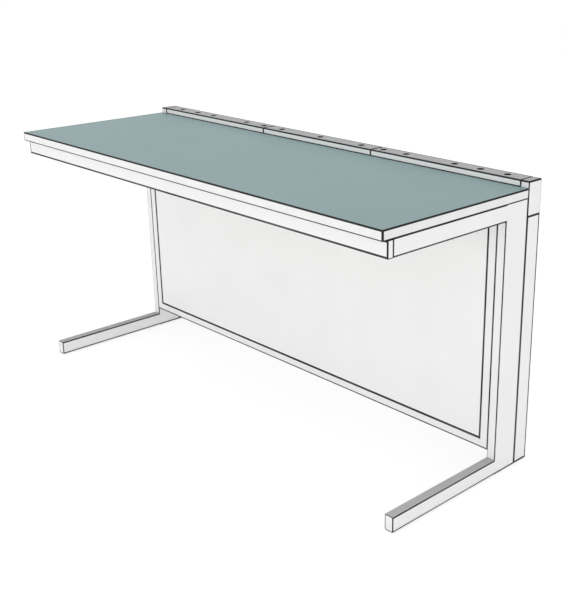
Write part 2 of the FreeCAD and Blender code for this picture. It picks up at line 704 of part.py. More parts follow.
def infill_panel():
    """Folded panel inside the frame, its studs, and the clips that hold them."""
    inner = "infill_width - 2 * infill_sheet"
    tray = without("infill_panel", box(
        "infill_blank", "infill_width", "infill_return", "infill_height",
        "-infill_width / 2", "infill_front", "infill_bottom",
    ), [box(
        "infill_hollow", inner, "infill_return", "infill_height - 2 * infill_sheet",
        "-infill_width / 2 + infill_sheet", "infill_front + infill_sheet",
        "infill_bottom + infill_sheet",
    )])
    node(tray, "infill_panel")

    length = "clip_front + clip_sheet + stud_tip - infill_front - infill_sheet"
    stud = turned("stud", [
        ("0", "0"), ("stud_flange_radius", "0"), ("stud_flange_radius", "-stud_flange"),
        ("stud_radius", "-stud_flange"), ("stud_radius", f"-({length})"), ("0", f"-({length})"),
    ])
    places = [
        (side, f"{sign}stud_side", z)
        for side, sign in SIDES.items() for z in ("stud_low", "stud_high")
    ]
    behind = "infill_front + infill_sheet"
    copies("panel_studs", stud, [(TO_FRONT, (x, behind, z)) for _, x, z in places])

    profile = [
        ("0", "0"), ("clip_reach", "0"), ("clip_reach", "clip_sheet"),
        ("clip_sheet", "clip_sheet"), ("clip_sheet", "clip_foot"), ("0", "clip_foot"),
    ]
    blank = folded("clip_blank", profile, "clip_height")
    place(blank, "0", "0", "-clip_height / 2")
    clip = without("clip", blank, [drill(
        "clip_hole", "stud_radius + stud_play", "clip_sheet", "stud_inset", "0", "0", TO_REAR,
    )])
    mirrored = doc.addObject("Part::Mirroring", "clip_mirrored")
    mirrored.Source = clip
    mirrored.Normal = Vector(1, 0, 0)
    group = doc.addObject("Part::Compound", "panel_clips")
    links = []
    for count, (side, _, z) in enumerate(places, 1):
        link = doc.addObject("App::Link", f"panel_clip_{count}")
        link.LinkedObject = clip if side == "left" else mirrored
        x = f"{SIDES[side]}(frame_inner - panel_tube)"
        links.append(place(link, x, "clip_front", z))
    group.Links = links
    node(group, "panel_clips")


def rear_post(side, sign, seats, bolts):
    """Post behind an upright, with the ledge's end cap and its grey top."""
    post = tube(f"rear_post_{side}_tube", "frame_width", "ledge_depth", "ledge_bottom - floor_gap")
    place(post, f"{sign}frame_middle", "ledge_middle", "floor_gap")
    holes = bolt_holes(f"rear_post_{side}", bolts["post_" + side], "tube_wall", "ledge_depth")
    holes += screw_holes(f"rear_post_{side}_screw", seats["post_" + side], upright_leg)
    node(without(f"rear_post_{side}", post, holes), f"rear_post_{side}")

    cap = new_body(f"ledge_end_cap_{side}")
    height = "ledge_body - inlay_thickness"
    outer = ("frame_width", "ledge_depth", "tube_radius")
    inside = "2 * (tube_wall + push_fit)"
    spigot = (f"frame_width - {inside}", f"ledge_depth - {inside}", "tube_bend")
    inside = "2 * (tube_wall + push_fit + cap_wall)"
    cavity = (f"frame_width - {inside}", f"ledge_depth - {inside}", "tube_bend")
    pad_rectangles(cap, f"ledge_cap_{side}_wall", "0", f"{height} - cap_flange", outer, cavity)
    pad_rectangles(cap, f"ledge_cap_{side}_top", f"{height} - cap_flange", "cap_flange", outer)
    pad_rectangles(cap, f"ledge_cap_{side}_spigot", "-ledge_cap_spigot", "ledge_cap_spigot",
                   spigot, cavity)
    node(place(cap, f"{sign}frame_middle", "ledge_middle", "ledge_bottom"), f"ledge_end_cap_{side}")


def end_cap_inlays():
    """The grey tops of both ledge end caps."""
    inlay = box("end_cap_inlay", "frame_width - 2 * inlay_inset", "ledge_depth - 2 * inlay_inset",
                "inlay_thickness")
    copies("end_cap_inlays", inlay, [
        (UP, (f"{sign}frame_middle - frame_width / 2 + inlay_inset",
              "worktop_rear + inlay_inset", "hood_top"))
        for sign in SIDES.values()
    ])


def service_rail(seats):
    """Rail between the rear posts, and the folded hangers that carry the hoods."""
    rail = tube("service_rail_tube", "service_rail_depth", "service_rail_height", "2 * frame_inner")
    middle = "service_rail_bottom + service_rail_height / 2"
    place(rail, "-frame_inner", "ledge_middle", middle, TO_RIGHT)
    holes = []
    for side in SIDES:
        holes += screw_holes(f"service_rail_{side}_screw", seats["post_" + side], flat_leg)
    node(without("service_rail", rail, holes), "service_rail")

    front = "hood_front_face + hood_sheet + hanger_play"
    rear = "ledge_rear - hood_sheet - hanger_play"
    hanger = folded("hood_hanger", [
        (front, "hanger_top"), (front, "hanger_top - hanger_lip"),
        (f"{front} + hanger_sheet", "hanger_top - hanger_lip"),
        (f"{front} + hanger_sheet", "hanger_top - hanger_sheet"),
        (f"{rear} - hanger_sheet", "hanger_top - hanger_sheet"),
        (f"{rear} - hanger_sheet", "ledge_bottom + hanger_sheet"),
        (f"{rear} - hanger_foot", "ledge_bottom + hanger_sheet"),
        (f"{rear} - hanger_foot", "ledge_bottom"), (rear, "ledge_bottom"), (rear, "hanger_top"),
    ], "hanger_width")
    ends = "frame_inner - seam_gap / 2 - hanger_width / 2"
    middles = (f"-({ends})", "-hood_seam", "hood_seam", ends)
    copies("hood_hangers", hanger, [
        (TO_RIGHT, (f"{x} - hanger_width / 2", "0", "0")) for x in middles
    ])


def socket_places():
    """Along the bench, the formula of each socket's place, by cover section."""
    outer = []
    for step in (0, 1, 2, 4, 5):
        x = f"first_socket - {step} * socket_pitch"
        if number(x) > number("hood_seam + socket_edge"):
            outer.append(x)
    middle = []
    for step in (-2, 0, 2):
        if abs(step) * number("socket_pitch") < number("hood_seam - socket_edge"):
            middle.append(f"{step} * socket_pitch")
    return {"left": [f"-({x})" for x in outer], "middle": middle, "right": outer}


def fillet_bends(body, name, places, radius):
    """Rounds the bends of a folded sheet that run along Z at the given points."""
    doc.recompute()
    sheet_metal = body.Tip
    wanted = [(number(x), number(y)) for x, y in places]
    edges = []
    for count, edge in enumerate(sheet_metal.Shape.Edges, 1):
        start, end = edge.Vertexes[0].Point, edge.Vertexes[-1].Point
        across = Vector(end.x - start.x, end.y - start.y, 0).Length
        near = any(Vector(start.x - x, start.y - y, 0).Length < 1e-6 for x, y in wanted)
        if across < 1e-6 and near:
            edges.append(f"Edge{count}")
    fillet = body.newObject("PartDesign::Fillet", name)
    fillet.Base = (sheet_metal, edges)
    bind(fillet, Radius=radius)
    body.Tip = fillet


def hood(part, start, end, sockets):
    """One lift-off cover section with its grey strip, its sockets and their nuts."""
    length = f"{end} - ({start})"
    front, rear = "hood_front_face", "ledge_rear"
    sheet_metal = folded(f"hood_{part}_blank", [
        (front, "hood_lip_bottom"), (f"{front} + hood_sheet", "hood_lip_bottom"),
        (f"{front} + hood_sheet", "hanger_top"), (f"{rear} - hood_sheet", "hanger_top"),
        (f"{rear} - hood_sheet", "ledge_bottom"), (rear, "ledge_bottom"),
        (rear, "hood_top"), (front, "hood_top"),
    ], length)
    fillet_bends(sheet_metal, f"hood_{part}_bends", [(front, "hood_top"), (rear, "hood_top")],
                 "hood_bend")
    place(sheet_metal, start, "0", "0", TO_RIGHT)
    holes = [
        drill(f"hood_{part}_hole_{count}", "socket_body + socket_play", "hood_sheet",
              x, "ledge_middle", "hanger_top")
        for count, x in enumerate(sockets, 1)
    ]
    node(without(f"hood_{part}", sheet_metal, holes), f"hood_{part}")

    strip = box(f"hood_inlay_{part}_blank", length,
                "ledge_rear - hood_front_face - 2 * inlay_inset",
                "inlay_thickness", start, "hood_front_face + inlay_inset", "hood_top")
    seats = [
        drill(f"hood_inlay_{part}_hole_{count}", "socket_flange + socket_play",
              "inlay_thickness", x, "ledge_middle", "hood_top")
        for count, x in enumerate(sockets, 1)
    ]
    node(without(f"hood_inlay_{part}", strip, seats), f"hood_inlay_{part}")


def sockets_and_nuts(places):
    """Threaded socket bushes in the hoods, flush with the strip, and their nuts."""
    bush = turned("socket_bush", [
        ("0", "-socket_depth - socket_floor"), ("socket_body", "-socket_depth - socket_floor"),
        ("socket_body", "-inlay_thickness"), ("socket_flange", "-inlay_thickness"),
        ("socket_flange", "0"), ("socket_bore", "0"), ("socket_bore", "-socket_depth"),
        ("0", "-socket_depth"),
    ])
    nut_bottom = "-inlay_thickness - hood_sheet - socket_nut_height"
    blank = hexagon("socket_nut_blank", "socket_nut_corner", "socket_nut_height", z=nut_bottom)
    nut = without("socket_nut", blank, [drill(
        "socket_nut_thread", "socket_body + thread_gap", "socket_nut_height", "0", "0", nut_bottom,
    )])
    for part, xs in places.items():
        seats = [(UP, (x, "ledge_middle", "ledge_top")) for x in xs]
        copies(f"sockets_{part}", bush, seats)
        copies(f"socket_nuts_{part}", nut, seats)


def levellers():
    """Threaded blocks in the tubes, and a spindle with a swivel pad in each."""
    neck = "pad_floor + 2 * swivel_gap + spindle_collar_height"
    pad_profile = [
        ("pad_key_hole", "0"), ("pad_radius", "0"), ("pad_radius", "pad_height"),
        ("spindle_radius + neck_gap", "pad_height"), ("spindle_radius + neck_gap", neck),
        ("spindle_collar + swivel_gap", neck), ("spindle_collar + swivel_gap", "pad_floor"),
        ("pad_key_hole", "pad_floor"),
    ]
    collar_bottom = "pad_floor + swivel_gap"
    collar_top = f"{collar_bottom} + spindle_collar_height"
    spindle_profile = [
        ("0", collar_bottom), ("spindle_collar", collar_bottom), ("spindle_collar", collar_top),
        ("spindle_radius", collar_top), ("spindle_radius", "spindle_top"), ("0", "spindle_top"),
    ]
    seats = []
    for side, sign in SIDES.items():
        for where, y in (("front", "front_leveller"), ("rear", "upright_middle")):
            corner = f"{where}_{side}"
            x = f"{sign}frame_middle"
            seats.append((UP, (x, y, "0")))
            node(place(turned(f"leveller_pad_{corner}", pad_profile), x, y), f"leveller_pad_{corner}")
            key = hexagon(f"spindle_{corner}_key", "spindle_key", "2 * spindle_collar_height",
                          z=collar_bottom)
            spindle = without(f"leveller_spindle_{corner}",
                              turned(f"spindle_{corner}_blank", spindle_profile), [key])
            node(place(spindle, x, y), f"leveller_spindle_{corner}")
    block_width = "frame_width - 2 * (tube_wall + thread_gap)"
    block = without("nut_block", box(
        "nut_block_blank", block_width, "nut_block_length", "nut_block_height",
        f"-({block_width}) / 2", "-nut_block_length / 2", "nut_block_bottom",
    ), [drill("nut_block_thread", "spindle_radius + thread_gap", "nut_block_height",
              "0", "0", "nut_block_bottom")])
    copies("leveller_nut_blocks", block, seats)


# ---------------------------------------------------------------- the whole bench

def build():
    """Builds every sub-part of the bench as an object of the document."""
    fill_sheet()
    seats = bracket_seats()
    bolts = bolt_seats()
    worktop(seats)
    for side, sign in SIDES.items():
        side_frame(side, sign, seats)
        rear_post(side, sign, seats, bolts)
    front_rail(seats)
    panel_frame(seats, bolts)
    infill_panel()
    end_cap_inlays()
    service_rail(seats)
    places = socket_places()
    half_gap = "seam_gap / 2"
    hood("left", f"-frame_inner + {half_gap}", f"-hood_seam - {half_gap}", places["left"])
    hood("middle", f"-hood_seam + {half_gap}", f"hood_seam - {half_gap}", places["middle"])
    hood("right", f"hood_seam + {half_gap}", f"frame_inner - {half_gap}", places["right"])
    sockets_and_nuts(places)
    angle_brackets(seats)
    frame_bolts(bolts)
    levellers()


def check():
    """Stops if an object failed to recompute or a sub-part's shape isn't sound."""
    doc.recompute()
    for thing in doc.Objects:
        if {"Invalid", "Error"} & set(thing.State):
            raise RuntimeError(f"{thing.Name} failed: {thing.State}")
    for piece in nodes:
        if piece.Shape.isNull() or not piece.Shape.isValid() or not piece.Shape.Solids:
            raise RuntimeError(f"{piece.Label} has no sound shape")


def write():
    """Writes each sub-part to a STEP file of its own name."""
    os.makedirs("parts", exist_ok=True)
    for piece in nodes:
        piece.Shape.exportStep(f"parts/{piece.Label}.step")


build()
check()
write()
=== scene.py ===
"""Dresses a laboratory bench: two C-frames, a laminate worktop, a framed back panel and a service ledge.

The construction comes from the frame as it is. Here every piece gets the finish it has in the workshop,
and the plain fasteners, sockets, levellers and welds get their threads, recesses, chamfers and beads.
"""
import json
import logging
import math
from collections.abc import Callable, Sequence
from dataclasses import dataclass
from enum import Enum

import bmesh
import bpy
from mathutils import Matrix, Vector

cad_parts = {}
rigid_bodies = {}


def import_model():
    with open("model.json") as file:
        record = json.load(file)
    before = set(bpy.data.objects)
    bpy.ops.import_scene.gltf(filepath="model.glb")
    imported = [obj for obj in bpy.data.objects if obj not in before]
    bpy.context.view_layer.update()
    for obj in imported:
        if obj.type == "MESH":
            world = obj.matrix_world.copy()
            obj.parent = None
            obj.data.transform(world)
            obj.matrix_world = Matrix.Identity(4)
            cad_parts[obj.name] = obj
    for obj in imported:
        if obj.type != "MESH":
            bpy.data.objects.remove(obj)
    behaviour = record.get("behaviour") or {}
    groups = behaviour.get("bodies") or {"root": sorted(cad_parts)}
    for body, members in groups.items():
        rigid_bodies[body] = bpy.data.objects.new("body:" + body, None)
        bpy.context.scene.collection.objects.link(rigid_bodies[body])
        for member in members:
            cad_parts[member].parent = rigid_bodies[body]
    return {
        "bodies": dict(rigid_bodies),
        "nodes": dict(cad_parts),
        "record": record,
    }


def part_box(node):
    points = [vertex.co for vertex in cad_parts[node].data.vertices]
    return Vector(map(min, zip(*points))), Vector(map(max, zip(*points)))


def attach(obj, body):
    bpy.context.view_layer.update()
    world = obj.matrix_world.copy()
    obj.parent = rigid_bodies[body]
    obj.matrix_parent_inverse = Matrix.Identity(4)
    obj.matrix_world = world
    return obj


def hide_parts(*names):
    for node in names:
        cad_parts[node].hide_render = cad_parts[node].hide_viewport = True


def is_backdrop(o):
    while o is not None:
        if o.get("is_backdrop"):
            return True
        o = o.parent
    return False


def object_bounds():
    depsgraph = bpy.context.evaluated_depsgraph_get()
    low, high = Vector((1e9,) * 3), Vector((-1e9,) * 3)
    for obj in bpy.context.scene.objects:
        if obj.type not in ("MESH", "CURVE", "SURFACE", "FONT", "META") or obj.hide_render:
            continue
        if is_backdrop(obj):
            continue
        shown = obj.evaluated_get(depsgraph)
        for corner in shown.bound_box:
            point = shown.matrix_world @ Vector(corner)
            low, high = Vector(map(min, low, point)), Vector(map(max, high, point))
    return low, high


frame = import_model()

LOG = logging.getLogger("bench")
MM = 0.001
SIDES = ("left", "right")
SECTIONS = ("left", "middle", "right")
ENDS = ("low", "high")
BOXES = 4                           # boxes that a mesh can name for its finish
SAME = 1e-6                         # metres within which two points are one
FLAT_TURN = math.radians(0.5)       # faces that turn by less are one flat
EASED_TURN = math.radians(35)       # edges that turn by more are broken
FACE_WEIGHT = 80                    # how much more a large face counts in a smooth normal
NOISE = (0.3, 0.7)                  # values between which most of a noise lies
HALFWAY = -0.5                      # between the -1 that means outside a box and the 0 at its edge
THREAD_DEPTH = 0.6                  # depth of a turned thread, as a share of its pitch
RIDGE = 0.56                        # radius of a wound thread's ridge, as a share of its pitch

Piece = bpy.types.Object
Tree = bpy.types.NodeTree
Socket = bpy.types.NodeSocket
Colour = tuple[float, float, float, float]
Span = tuple[float, float]
Box = tuple[Vector, Vector]
Profile = Sequence[Span | Callable[[float], Span]]


# ---------------------------------------------------------------- nodes and colours

def linear(code: str) -> Colour:
    """Turns an sRGB hex value into the linear colour that a shader takes.

    Args:
        code: Six hex digits, such as "95AAAB".

    Returns:
        Red, green, blue and an alpha of one.
    """
    parts = [int(code[start:start + 2], 16) / 255 for start in (0, 2, 4)]
    return (*(p / 12.92 if p <= 0.04045 else ((p + 0.055) / 1.055) ** 2.4 for p in parts), 1.0)


def toned(colour: Colour, share: float) -> Colour:
    """Gives a colour with a share of its own light, such as 0.9 for a darker one."""
    return (*(min(1.0, part * share) for part in colour[:3]), 1.0)


def scale_of(size: float) -> float:
    """Gives the scale of a texture whose marks are about size millimetres across."""
    return 1 / (size * MM)


def add(tree: Tree, kind: str, inputs: dict | None = None, **settings: object) -> bpy.types.Node:
    """Adds one node with its settings, values and links.

    Args:
        tree: Shader or geometry node tree that takes it.
        kind: The node's type, such as "ShaderNodeMath".
        inputs: A plain value, or the socket that feeds it, for each input by its name or number.
        settings: Properties of the node itself.

    Returns:
        The new node.
    """
    node = tree.nodes.new(kind)
    for name, value in settings.items():
        setattr(node, name, value)
    for name, value in (inputs or {}).items():
        if isinstance(value, Socket):
            tree.links.new(value, node.inputs[name])
        else:
            node.inputs[name].default_value = value
    return node


# ---------------------------------------------------------------- finishes

@dataclass(frozen=True)
class Surface:
    """What a finish hands to its shader. Where the roughness is None, one plain value holds all over."""

    colour: Socket
    height: Socket
    roughness: Socket | None = None


@dataclass(frozen=True)
class Finish:
    """A real material and how its surface was made. Sizes of its pattern are in millimetres."""

    name: str
    colour: str
    roughness: float
    metallic: float = 0.0
    ior: float = 1.5
    grain: float = 1.0
    relief: float = 0.02
    play: Span = (-0.06, 0.08)              # how far the roughness goes to either side
    edge: str = "B4B6B7"
    rim: float = 0.0                        # width of the mark along the edges of its boxes
    rim_solid: float = 0.8                  # share of that width before the mark fades
    rounding: Span = (0.985, 0.9998)        # a normal's largest part on a rounded edge and on a flat
    matt: float = 0.95                      # roughness along edges
    strayed: float = -0.1                   # how far a point may lie outside its box

    def make(self) -> bpy.types.Material:
        """Builds the material from the finish's own pattern.

        Returns:
            The new material.
        """
        material = bpy.data.materials.new(self.name)
        material.use_nodes = True
        tree = material.node_tree
        tree.nodes.clear()
        given = add(tree, "ShaderNodeTexCoord").outputs
        surface = self.pattern(tree, given["Object"], given["Normal"])
        raised = add(tree, "ShaderNodeBump", {"Height": surface.height, "Distance": self.relief * MM})
        shader = add(tree, "ShaderNodeBsdfPrincipled",
                     {"Base Color": surface.colour, "Roughness": surface.roughness or self.roughness,
                      "Metallic": self.metallic, "Normal": raised.outputs["Normal"]})
        if not self.metallic:
            shader.inputs["IOR"].default_value = self.ior
        add(tree, "ShaderNodeOutputMaterial", {"Surface": shader.outputs["BSDF"]})
        return material

    def pattern(self, tree: Tree, place: Socket, normal: Socket) -> Surface:
        """Lays the finish's pattern; each kind of finish has its own.

        Args:
            tree: Material's node tree.
            place: Object coordinates.
            normal: Smooth normal in the piece's own axes.

        Returns:
            The sockets that feed the shader.
        """
        raise NotImplementedError

    def lay(self, tree: Tree, factor: Socket, under: Socket | Colour, over: Colour,
            window: Span = NOISE, amount: Span = (0.0, 1.0)) -> Socket:
        """Lays a colour over another as a factor rises.

        Args:
            tree: Material's node tree.
            factor: What decides where it lies, such as noise.
            under: Colour below.
            over: Colour on top.
            window: Values of the factor between which it comes in.
            amount: How much of it shows below the window and above it.

        Returns:
            The mixed colour.
        """
        share = add(tree, "ShaderNodeMapRange",
                    {"Value": factor, "From Min": window[0], "From Max": window[1], "To Min": amount[0],
                     "To Max": amount[1]}, interpolation_type="SMOOTHSTEP").outputs["Result"]
        return add(tree, "ShaderNodeMix", {0: share, 6: under, 7: over}, data_type="RGBA").outputs[2]

    def gloss(self, tree: Tree, factor: Socket, mask: Socket | None = None,
              window: Span = NOISE) -> Socket:
        """Lets the roughness rise with a factor, and takes the gloss off where the mask is.

        Args:
            tree: Material's node tree.
            factor: What decides, such as the height of the texture.
            mask: 1 along edges, where the finish paints its dark line, or None where it paints none.
            window: Values of the factor between which the roughness rises.

        Returns:
            The roughness.
        """
        low, high = (self.roughness + step for step in self.play)
        rough = add(tree, "ShaderNodeMapRange",
                    {"Value": factor, "From Min": window[0], "From Max": window[1], "To Min": low,
                     "To Max": high}, interpolation_type="SMOOTHSTEP").outputs["Result"]
        if not mask:
            return rough
        matt_edge = add(tree, "ShaderNodeMath", {0: mask, 1: self.matt}, operation="MULTIPLY").outputs[0]
        return add(tree, "ShaderNodeMath", {0: matt_edge, 1: rough}, operation="MAXIMUM").outputs[0]

    def depth(self, tree: Tree, place: Socket, box: int) -> Socket:
        """Gives how far a point of a box's surface lies from that box's nearest edge.

        Args:
            tree: Material's node tree.
            place: Object coordinates.
            box: Number of the box, whose corners the mesh carries as attributes.

        Returns:
            The middle one of the distances to the box's sides in metres, or -1 outside the box.
        """
        low, high = (add(tree, "ShaderNodeAttribute", attribute_name=f"{end}_{box}").outputs["Vector"]
                     for end in ENDS)
        under = add(tree, "ShaderNodeVectorMath", {0: place, 1: low}, operation="SUBTRACT").outputs[0]
        over = add(tree, "ShaderNodeVectorMath", {0: high, 1: place}, operation="SUBTRACT").outputs[0]
        within = add(tree, "ShaderNodeVectorMath", {0: under, 1: over}, operation="MINIMUM").outputs[0]
        axes = add(tree, "ShaderNodeSeparateXYZ", {"Vector": within}).outputs
        pair = {0: axes["X"], 1: axes["Y"]}
        lesser, greater = (add(tree, "ShaderNodeMath", pair, operation=kind).outputs[0]
                           for kind in ("MINIMUM", "MAXIMUM"))
        least, most = (add(tree, "ShaderNodeMath", {0: value, 1: axes["Z"]}, operation="MINIMUM").outputs[0]
                       for value in (lesser, greater))
        middle = add(tree, "ShaderNodeMath", {0: lesser, 1: most}, operation="MAXIMUM").outputs[0]
        inside = add(tree, "ShaderNodeMath", {0: least, 1: self.strayed * MM},
                     operation="GREATER_THAN").outputs[0]
        kept = add(tree, "ShaderNodeMath", {0: middle, 1: inside}, operation="MULTIPLY").outputs[0]
        left_out = add(tree, "ShaderNodeMath", {0: inside, 1: 1.0}, operation="SUBTRACT").outputs[0]
        return add(tree, "ShaderNodeMath", {0: kept, 1: left_out}, operation="ADD").outputs[0]

    def edge_mask(self, tree: Tree, place: Socket, normal: Socket) -> Socket:
        """Gives 1 along edges and 0 on flats.

        A rounded edge shows in how far its normal leans from the nearest axis. Where the finish has a
        rim, the mask also covers that many millimetres from the edges of the boxes that the mesh names.

        Args:
            tree: Material's node tree.
            place: Object coordinates.
            normal: Smooth normal in the piece's own axes.

        Returns:
            The mask.
        """
        turned_out = add(tree, "ShaderNodeVectorMath", {0: normal}, operation="ABSOLUTE").outputs[0]
        axes = add(tree, "ShaderNodeSeparateXYZ", {"Vector": turned_out}).outputs
        most = add(tree, "ShaderNodeMath", {0: axes["X"], 1: axes["Y"]}, operation="MAXIMUM").outputs[0]
        most = add(tree, "ShaderNodeMath", {0: most, 1: axes["Z"]}, operation="MAXIMUM").outputs[0]
        lean = add(tree, "ShaderNodeMapRange",
                   {"Value": most, "From Min": self.rounding[0], "From Max": self.rounding[1],
                    "To Min": 1.0, "To Max": 0.0}, interpolation_type="SMOOTHSTEP").outputs["Result"]
        if not self.rim:
            return lean
        depth = self.depth(tree, place, 1)
        for box in range(2, BOXES + 1):
            depth = add(tree, "ShaderNodeMath", {0: depth, 1: self.depth(tree, place, box)},
                        operation="MAXIMUM").outputs[0]
        near = add(tree, "ShaderNodeMapRange",
                   {"Value": depth, "From Min": self.rim_solid * self.rim * MM, "From Max": self.rim * MM,
                    "To Min": 1.0, "To Max": 0.0}, interpolation_type="SMOOTHSTEP").outputs["Result"]
        known = add(tree, "ShaderNodeMath", {0: depth, 1: HALFWAY}, operation="GREATER_THAN").outputs[0]
        band = add(tree, "ShaderNodeMath", {0: near, 1: known}, operation="MULTIPLY").outputs[0]
        return add(tree, "ShaderNodeMath", {0: lean, 1: band}, operation="MAXIMUM").outputs[0]


@dataclass(frozen=True)
class PowderCoat(Finish):
    """Polyester powder baked on steel: faint orange peel, with a near-black line painted along its edges.
    """

    roughness: float = 0.42
    grain: float = 2.2
    relief: float = 0.05
    play: Span = (-0.04, 0.05)
    # Near-black of the specks and of the line painted along edges.
    edge: str = "1E2022"
    drift: float = 180.0
    drift_tone: float = 0.98
    speck: float = 0.7
    speck_window: Span = (0.62, 0.80)
    speck_share: float = 0.10
    thinning: Span = (0.93, 1.0)            # how strongly the line painted along edges shows

    def pattern(self, tree: Tree, place: Socket, normal: Socket) -> Surface:
        """Lays orange peel, a slow drift of tone, fine specks and a near-black line painted along edges.

        Args:
            tree: Material's node tree.
            place: Object coordinates.
            normal: Smooth normal in the piece's own axes.

        Returns:
            The sockets that feed the shader.
        """
        peel = add(tree, "ShaderNodeTexNoise", {"Vector": place, "Scale": scale_of(self.grain)})
        drift, speck = (add(tree, "ShaderNodeTexNoise", {"Vector": place, "Scale": scale_of(size),
                                                         "Detail": 1.0}).outputs["Fac"]
                        for size in (self.drift, self.speck))
        body, near_black = linear(self.colour), linear(self.edge)
        tone = self.lay(tree, drift, body, toned(body, self.drift_tone))
        tone = self.lay(tree, speck, tone, near_black, self.speck_window, (0.0, self.speck_share))
        thin = add(tree, "ShaderNodeMapRange",
                   {"Value": drift, "From Min": NOISE[0], "From Max": NOISE[1], "To Min": self.thinning[0],
                    "To Max": self.thinning[1]}, interpolation_type="SMOOTHSTEP").outputs["Result"]
        # The near-black line painted along every edge, a little weaker here and there.
        edge_line = add(tree, "ShaderNodeMath", {0: self.edge_mask(tree, place, normal), 1: thin},
                   operation="MULTIPLY").outputs[0]
        tone = add(tree, "ShaderNodeMix", {0: edge_line, 6: tone, 7: near_black}, data_type="RGBA").outputs[2]
        return Surface(tone, peel.outputs["Fac"], self.gloss(tree, speck, edge_line))


@dataclass(frozen=True)
class Moulded(Finish):
    """Plastic moulded or extruded through a spark-eroded tool: even, fine and matt."""

    play: Span = (-0.05, 0.06)
    # Dark colour of the line painted along its edges.
    edge: str = "141617"
    drift: float = 60.0
    drift_tone: float = 0.96
    spark_window: Span = (0.1, 0.7)

    def pattern(self, tree: Tree, place: Socket, normal: Socket) -> Surface:
        """Lays the spark texture and a dark line painted along its edges.

        Args:
            tree: Material's node tree.
            place: Object coordinates.
            normal: Smooth normal in the piece's own axes.

        Returns:
            The sockets that feed the shader.
        """
        spark = add(tree, "ShaderNodeTexVoronoi", {"Vector": place, "Scale": scale_of(self.grain)},
                    feature="SMOOTH_F1").outputs["Distance"]
        drift = add(tree, "ShaderNodeTexNoise",
                    {"Vector": place, "Scale": scale_of(self.drift), "Detail": 1.0}).outputs["Fac"]
        body = linear(self.colour)
        tone = self.lay(tree, drift, body, toned(body, self.drift_tone))
        # The dark line painted along its edges.
        dark_edge = self.edge_mask(tree, place, normal)
        tone = add(tree, "ShaderNodeMix", {0: dark_edge, 6: tone, 7: linear(self.edge)},
                   data_type="RGBA").outputs[2]
        return Surface(tone, spark, self.gloss(tree, spark, dark_edge, self.spark_window))


@dataclass(frozen=True)
class Laminate(Finish):
    """High-pressure laminate pressed on a pearl-textured plate. Its paper core shows at a trimmed edge."""

    edge: str = "6B5848"
    cloud: float = 240.0
    cloud_tone: float = 0.95
    fleck: float = 0.6                      # a fleck's size, as a share of the grain
    dark_tone: float = 0.80
    dark_window: Span = (0.55, 0.72)
    dark_amount: Span = (0.0, 0.35)
    pale_tone: float = 1.22
    pale_window: Span = (0.28, 0.45)
    pale_amount: Span = (0.30, 0.0)

    def pattern(self, tree: Tree, place: Socket, normal: Socket) -> Surface:
        """Lays the pearl texture, the print's dark and pale flecks, and the core along edges.

        Args:
            tree: Material's node tree.
            place: Object coordinates.
            normal: Smooth normal in the piece's own axes.

        Returns:
            The sockets that feed the shader.
        """
        pearl, fleck, cloud = (
            add(tree, "ShaderNodeTexNoise",
                {"Vector": place, "Scale": scale_of(size), "Detail": detail}).outputs["Fac"]
            for size, detail in ((self.grain, 3.0), (self.grain * self.fleck, 1.0), (self.cloud, 2.0)))
        body = linear(self.colour)
        tone = self.lay(tree, cloud, body, toned(body, self.cloud_tone))
        tone = self.lay(tree, fleck, tone, toned(body, self.dark_tone), self.dark_window, self.dark_amount)
        tone = self.lay(tree, fleck, tone, toned(body, self.pale_tone), self.pale_window, self.pale_amount)
        bare = self.edge_mask(tree, place, normal)
        tone = add(tree, "ShaderNodeMix", {0: bare, 6: tone, 7: linear(self.edge)},
                   data_type="RGBA").outputs[2]
        return Surface(tone, pearl, self.gloss(tree, pearl, bare))


@dataclass(frozen=True)
class Chipboard(Finish):
    """Pressed wood chips: flat pale flakes in every brown from straw to bark."""

    dark: str = "8A6A45"
    glue: str = "5C4328"
    flatness: float = 3.0                   # a flake's width over its height
    glue_window: Span = (0.45, 0.8)
    glue_share: float = 0.5

    def pattern(self, tree: Tree, place: Socket, normal: Socket) -> Surface:
        """Lays flakes that lie flat along the board, with glue-dark gaps between them.

        Args:
            tree: Material's node tree.
            place: Object coordinates.
            normal: Smooth normal in the piece's own axes.

        Returns:
            The sockets that feed the shader.
        """
        flat = add(tree, "ShaderNodeMapping", {"Vector": place, "Scale": (1.0, 1.0, self.flatness)})
        chips = add(tree, "ShaderNodeTexVoronoi",
                    {"Vector": flat.outputs["Vector"], "Scale": scale_of(self.grain)})
        shade = add(tree, "ShaderNodeSeparateColor", {"Color": chips.outputs["Color"]}).outputs["Red"]
        tone = add(tree, "ShaderNodeMix", {0: shade, 6: linear(self.dark), 7: linear(self.colour)},
                   data_type="RGBA").outputs[2]
        tone = self.lay(tree, chips.outputs["Distance"], tone, linear(self.glue), self.glue_window,
                        (0.0, self.glue_share))
        return Surface(tone, shade)


@dataclass(frozen=True)
class Galvanised(Finish):
    """Hot-dip galvanised sheet: zinc spangle, each crystal with its own grey and its own gloss."""

    metallic: float = 1.0
    play: Span = (-0.1, 0.12)
    dark: str = "A5ABAD"
    pits: float = 0.8

    def pattern(self, tree: Tree, place: Socket, normal: Socket) -> Surface:
        """Lays the spangle in tone and gloss.

        Args:
            tree: Material's node tree.
            place: Object coordinates.
            normal: Smooth normal in the piece's own axes.

        Returns:
            The sockets that feed the shader.
        """
        spangle = add(tree, "ShaderNodeTexVoronoi", {"Vector": place, "Scale": scale_of(self.grain)})
        shade = add(tree, "ShaderNodeSeparateColor", {"Color": spangle.outputs["Color"]}).outputs["Red"]
        tone = add(tree, "ShaderNodeMix", {0: shade, 6: linear(self.dark), 7: linear(self.colour)},
                   data_type="RGBA").outputs[2]
        pits = add(tree, "ShaderNodeTexNoise", {"Vector": place, "Scale": scale_of(self.pits)})
        return Surface(tone, pits.outputs["Fac"], self.gloss(tree, shade, window=(0.0, 1.0)))


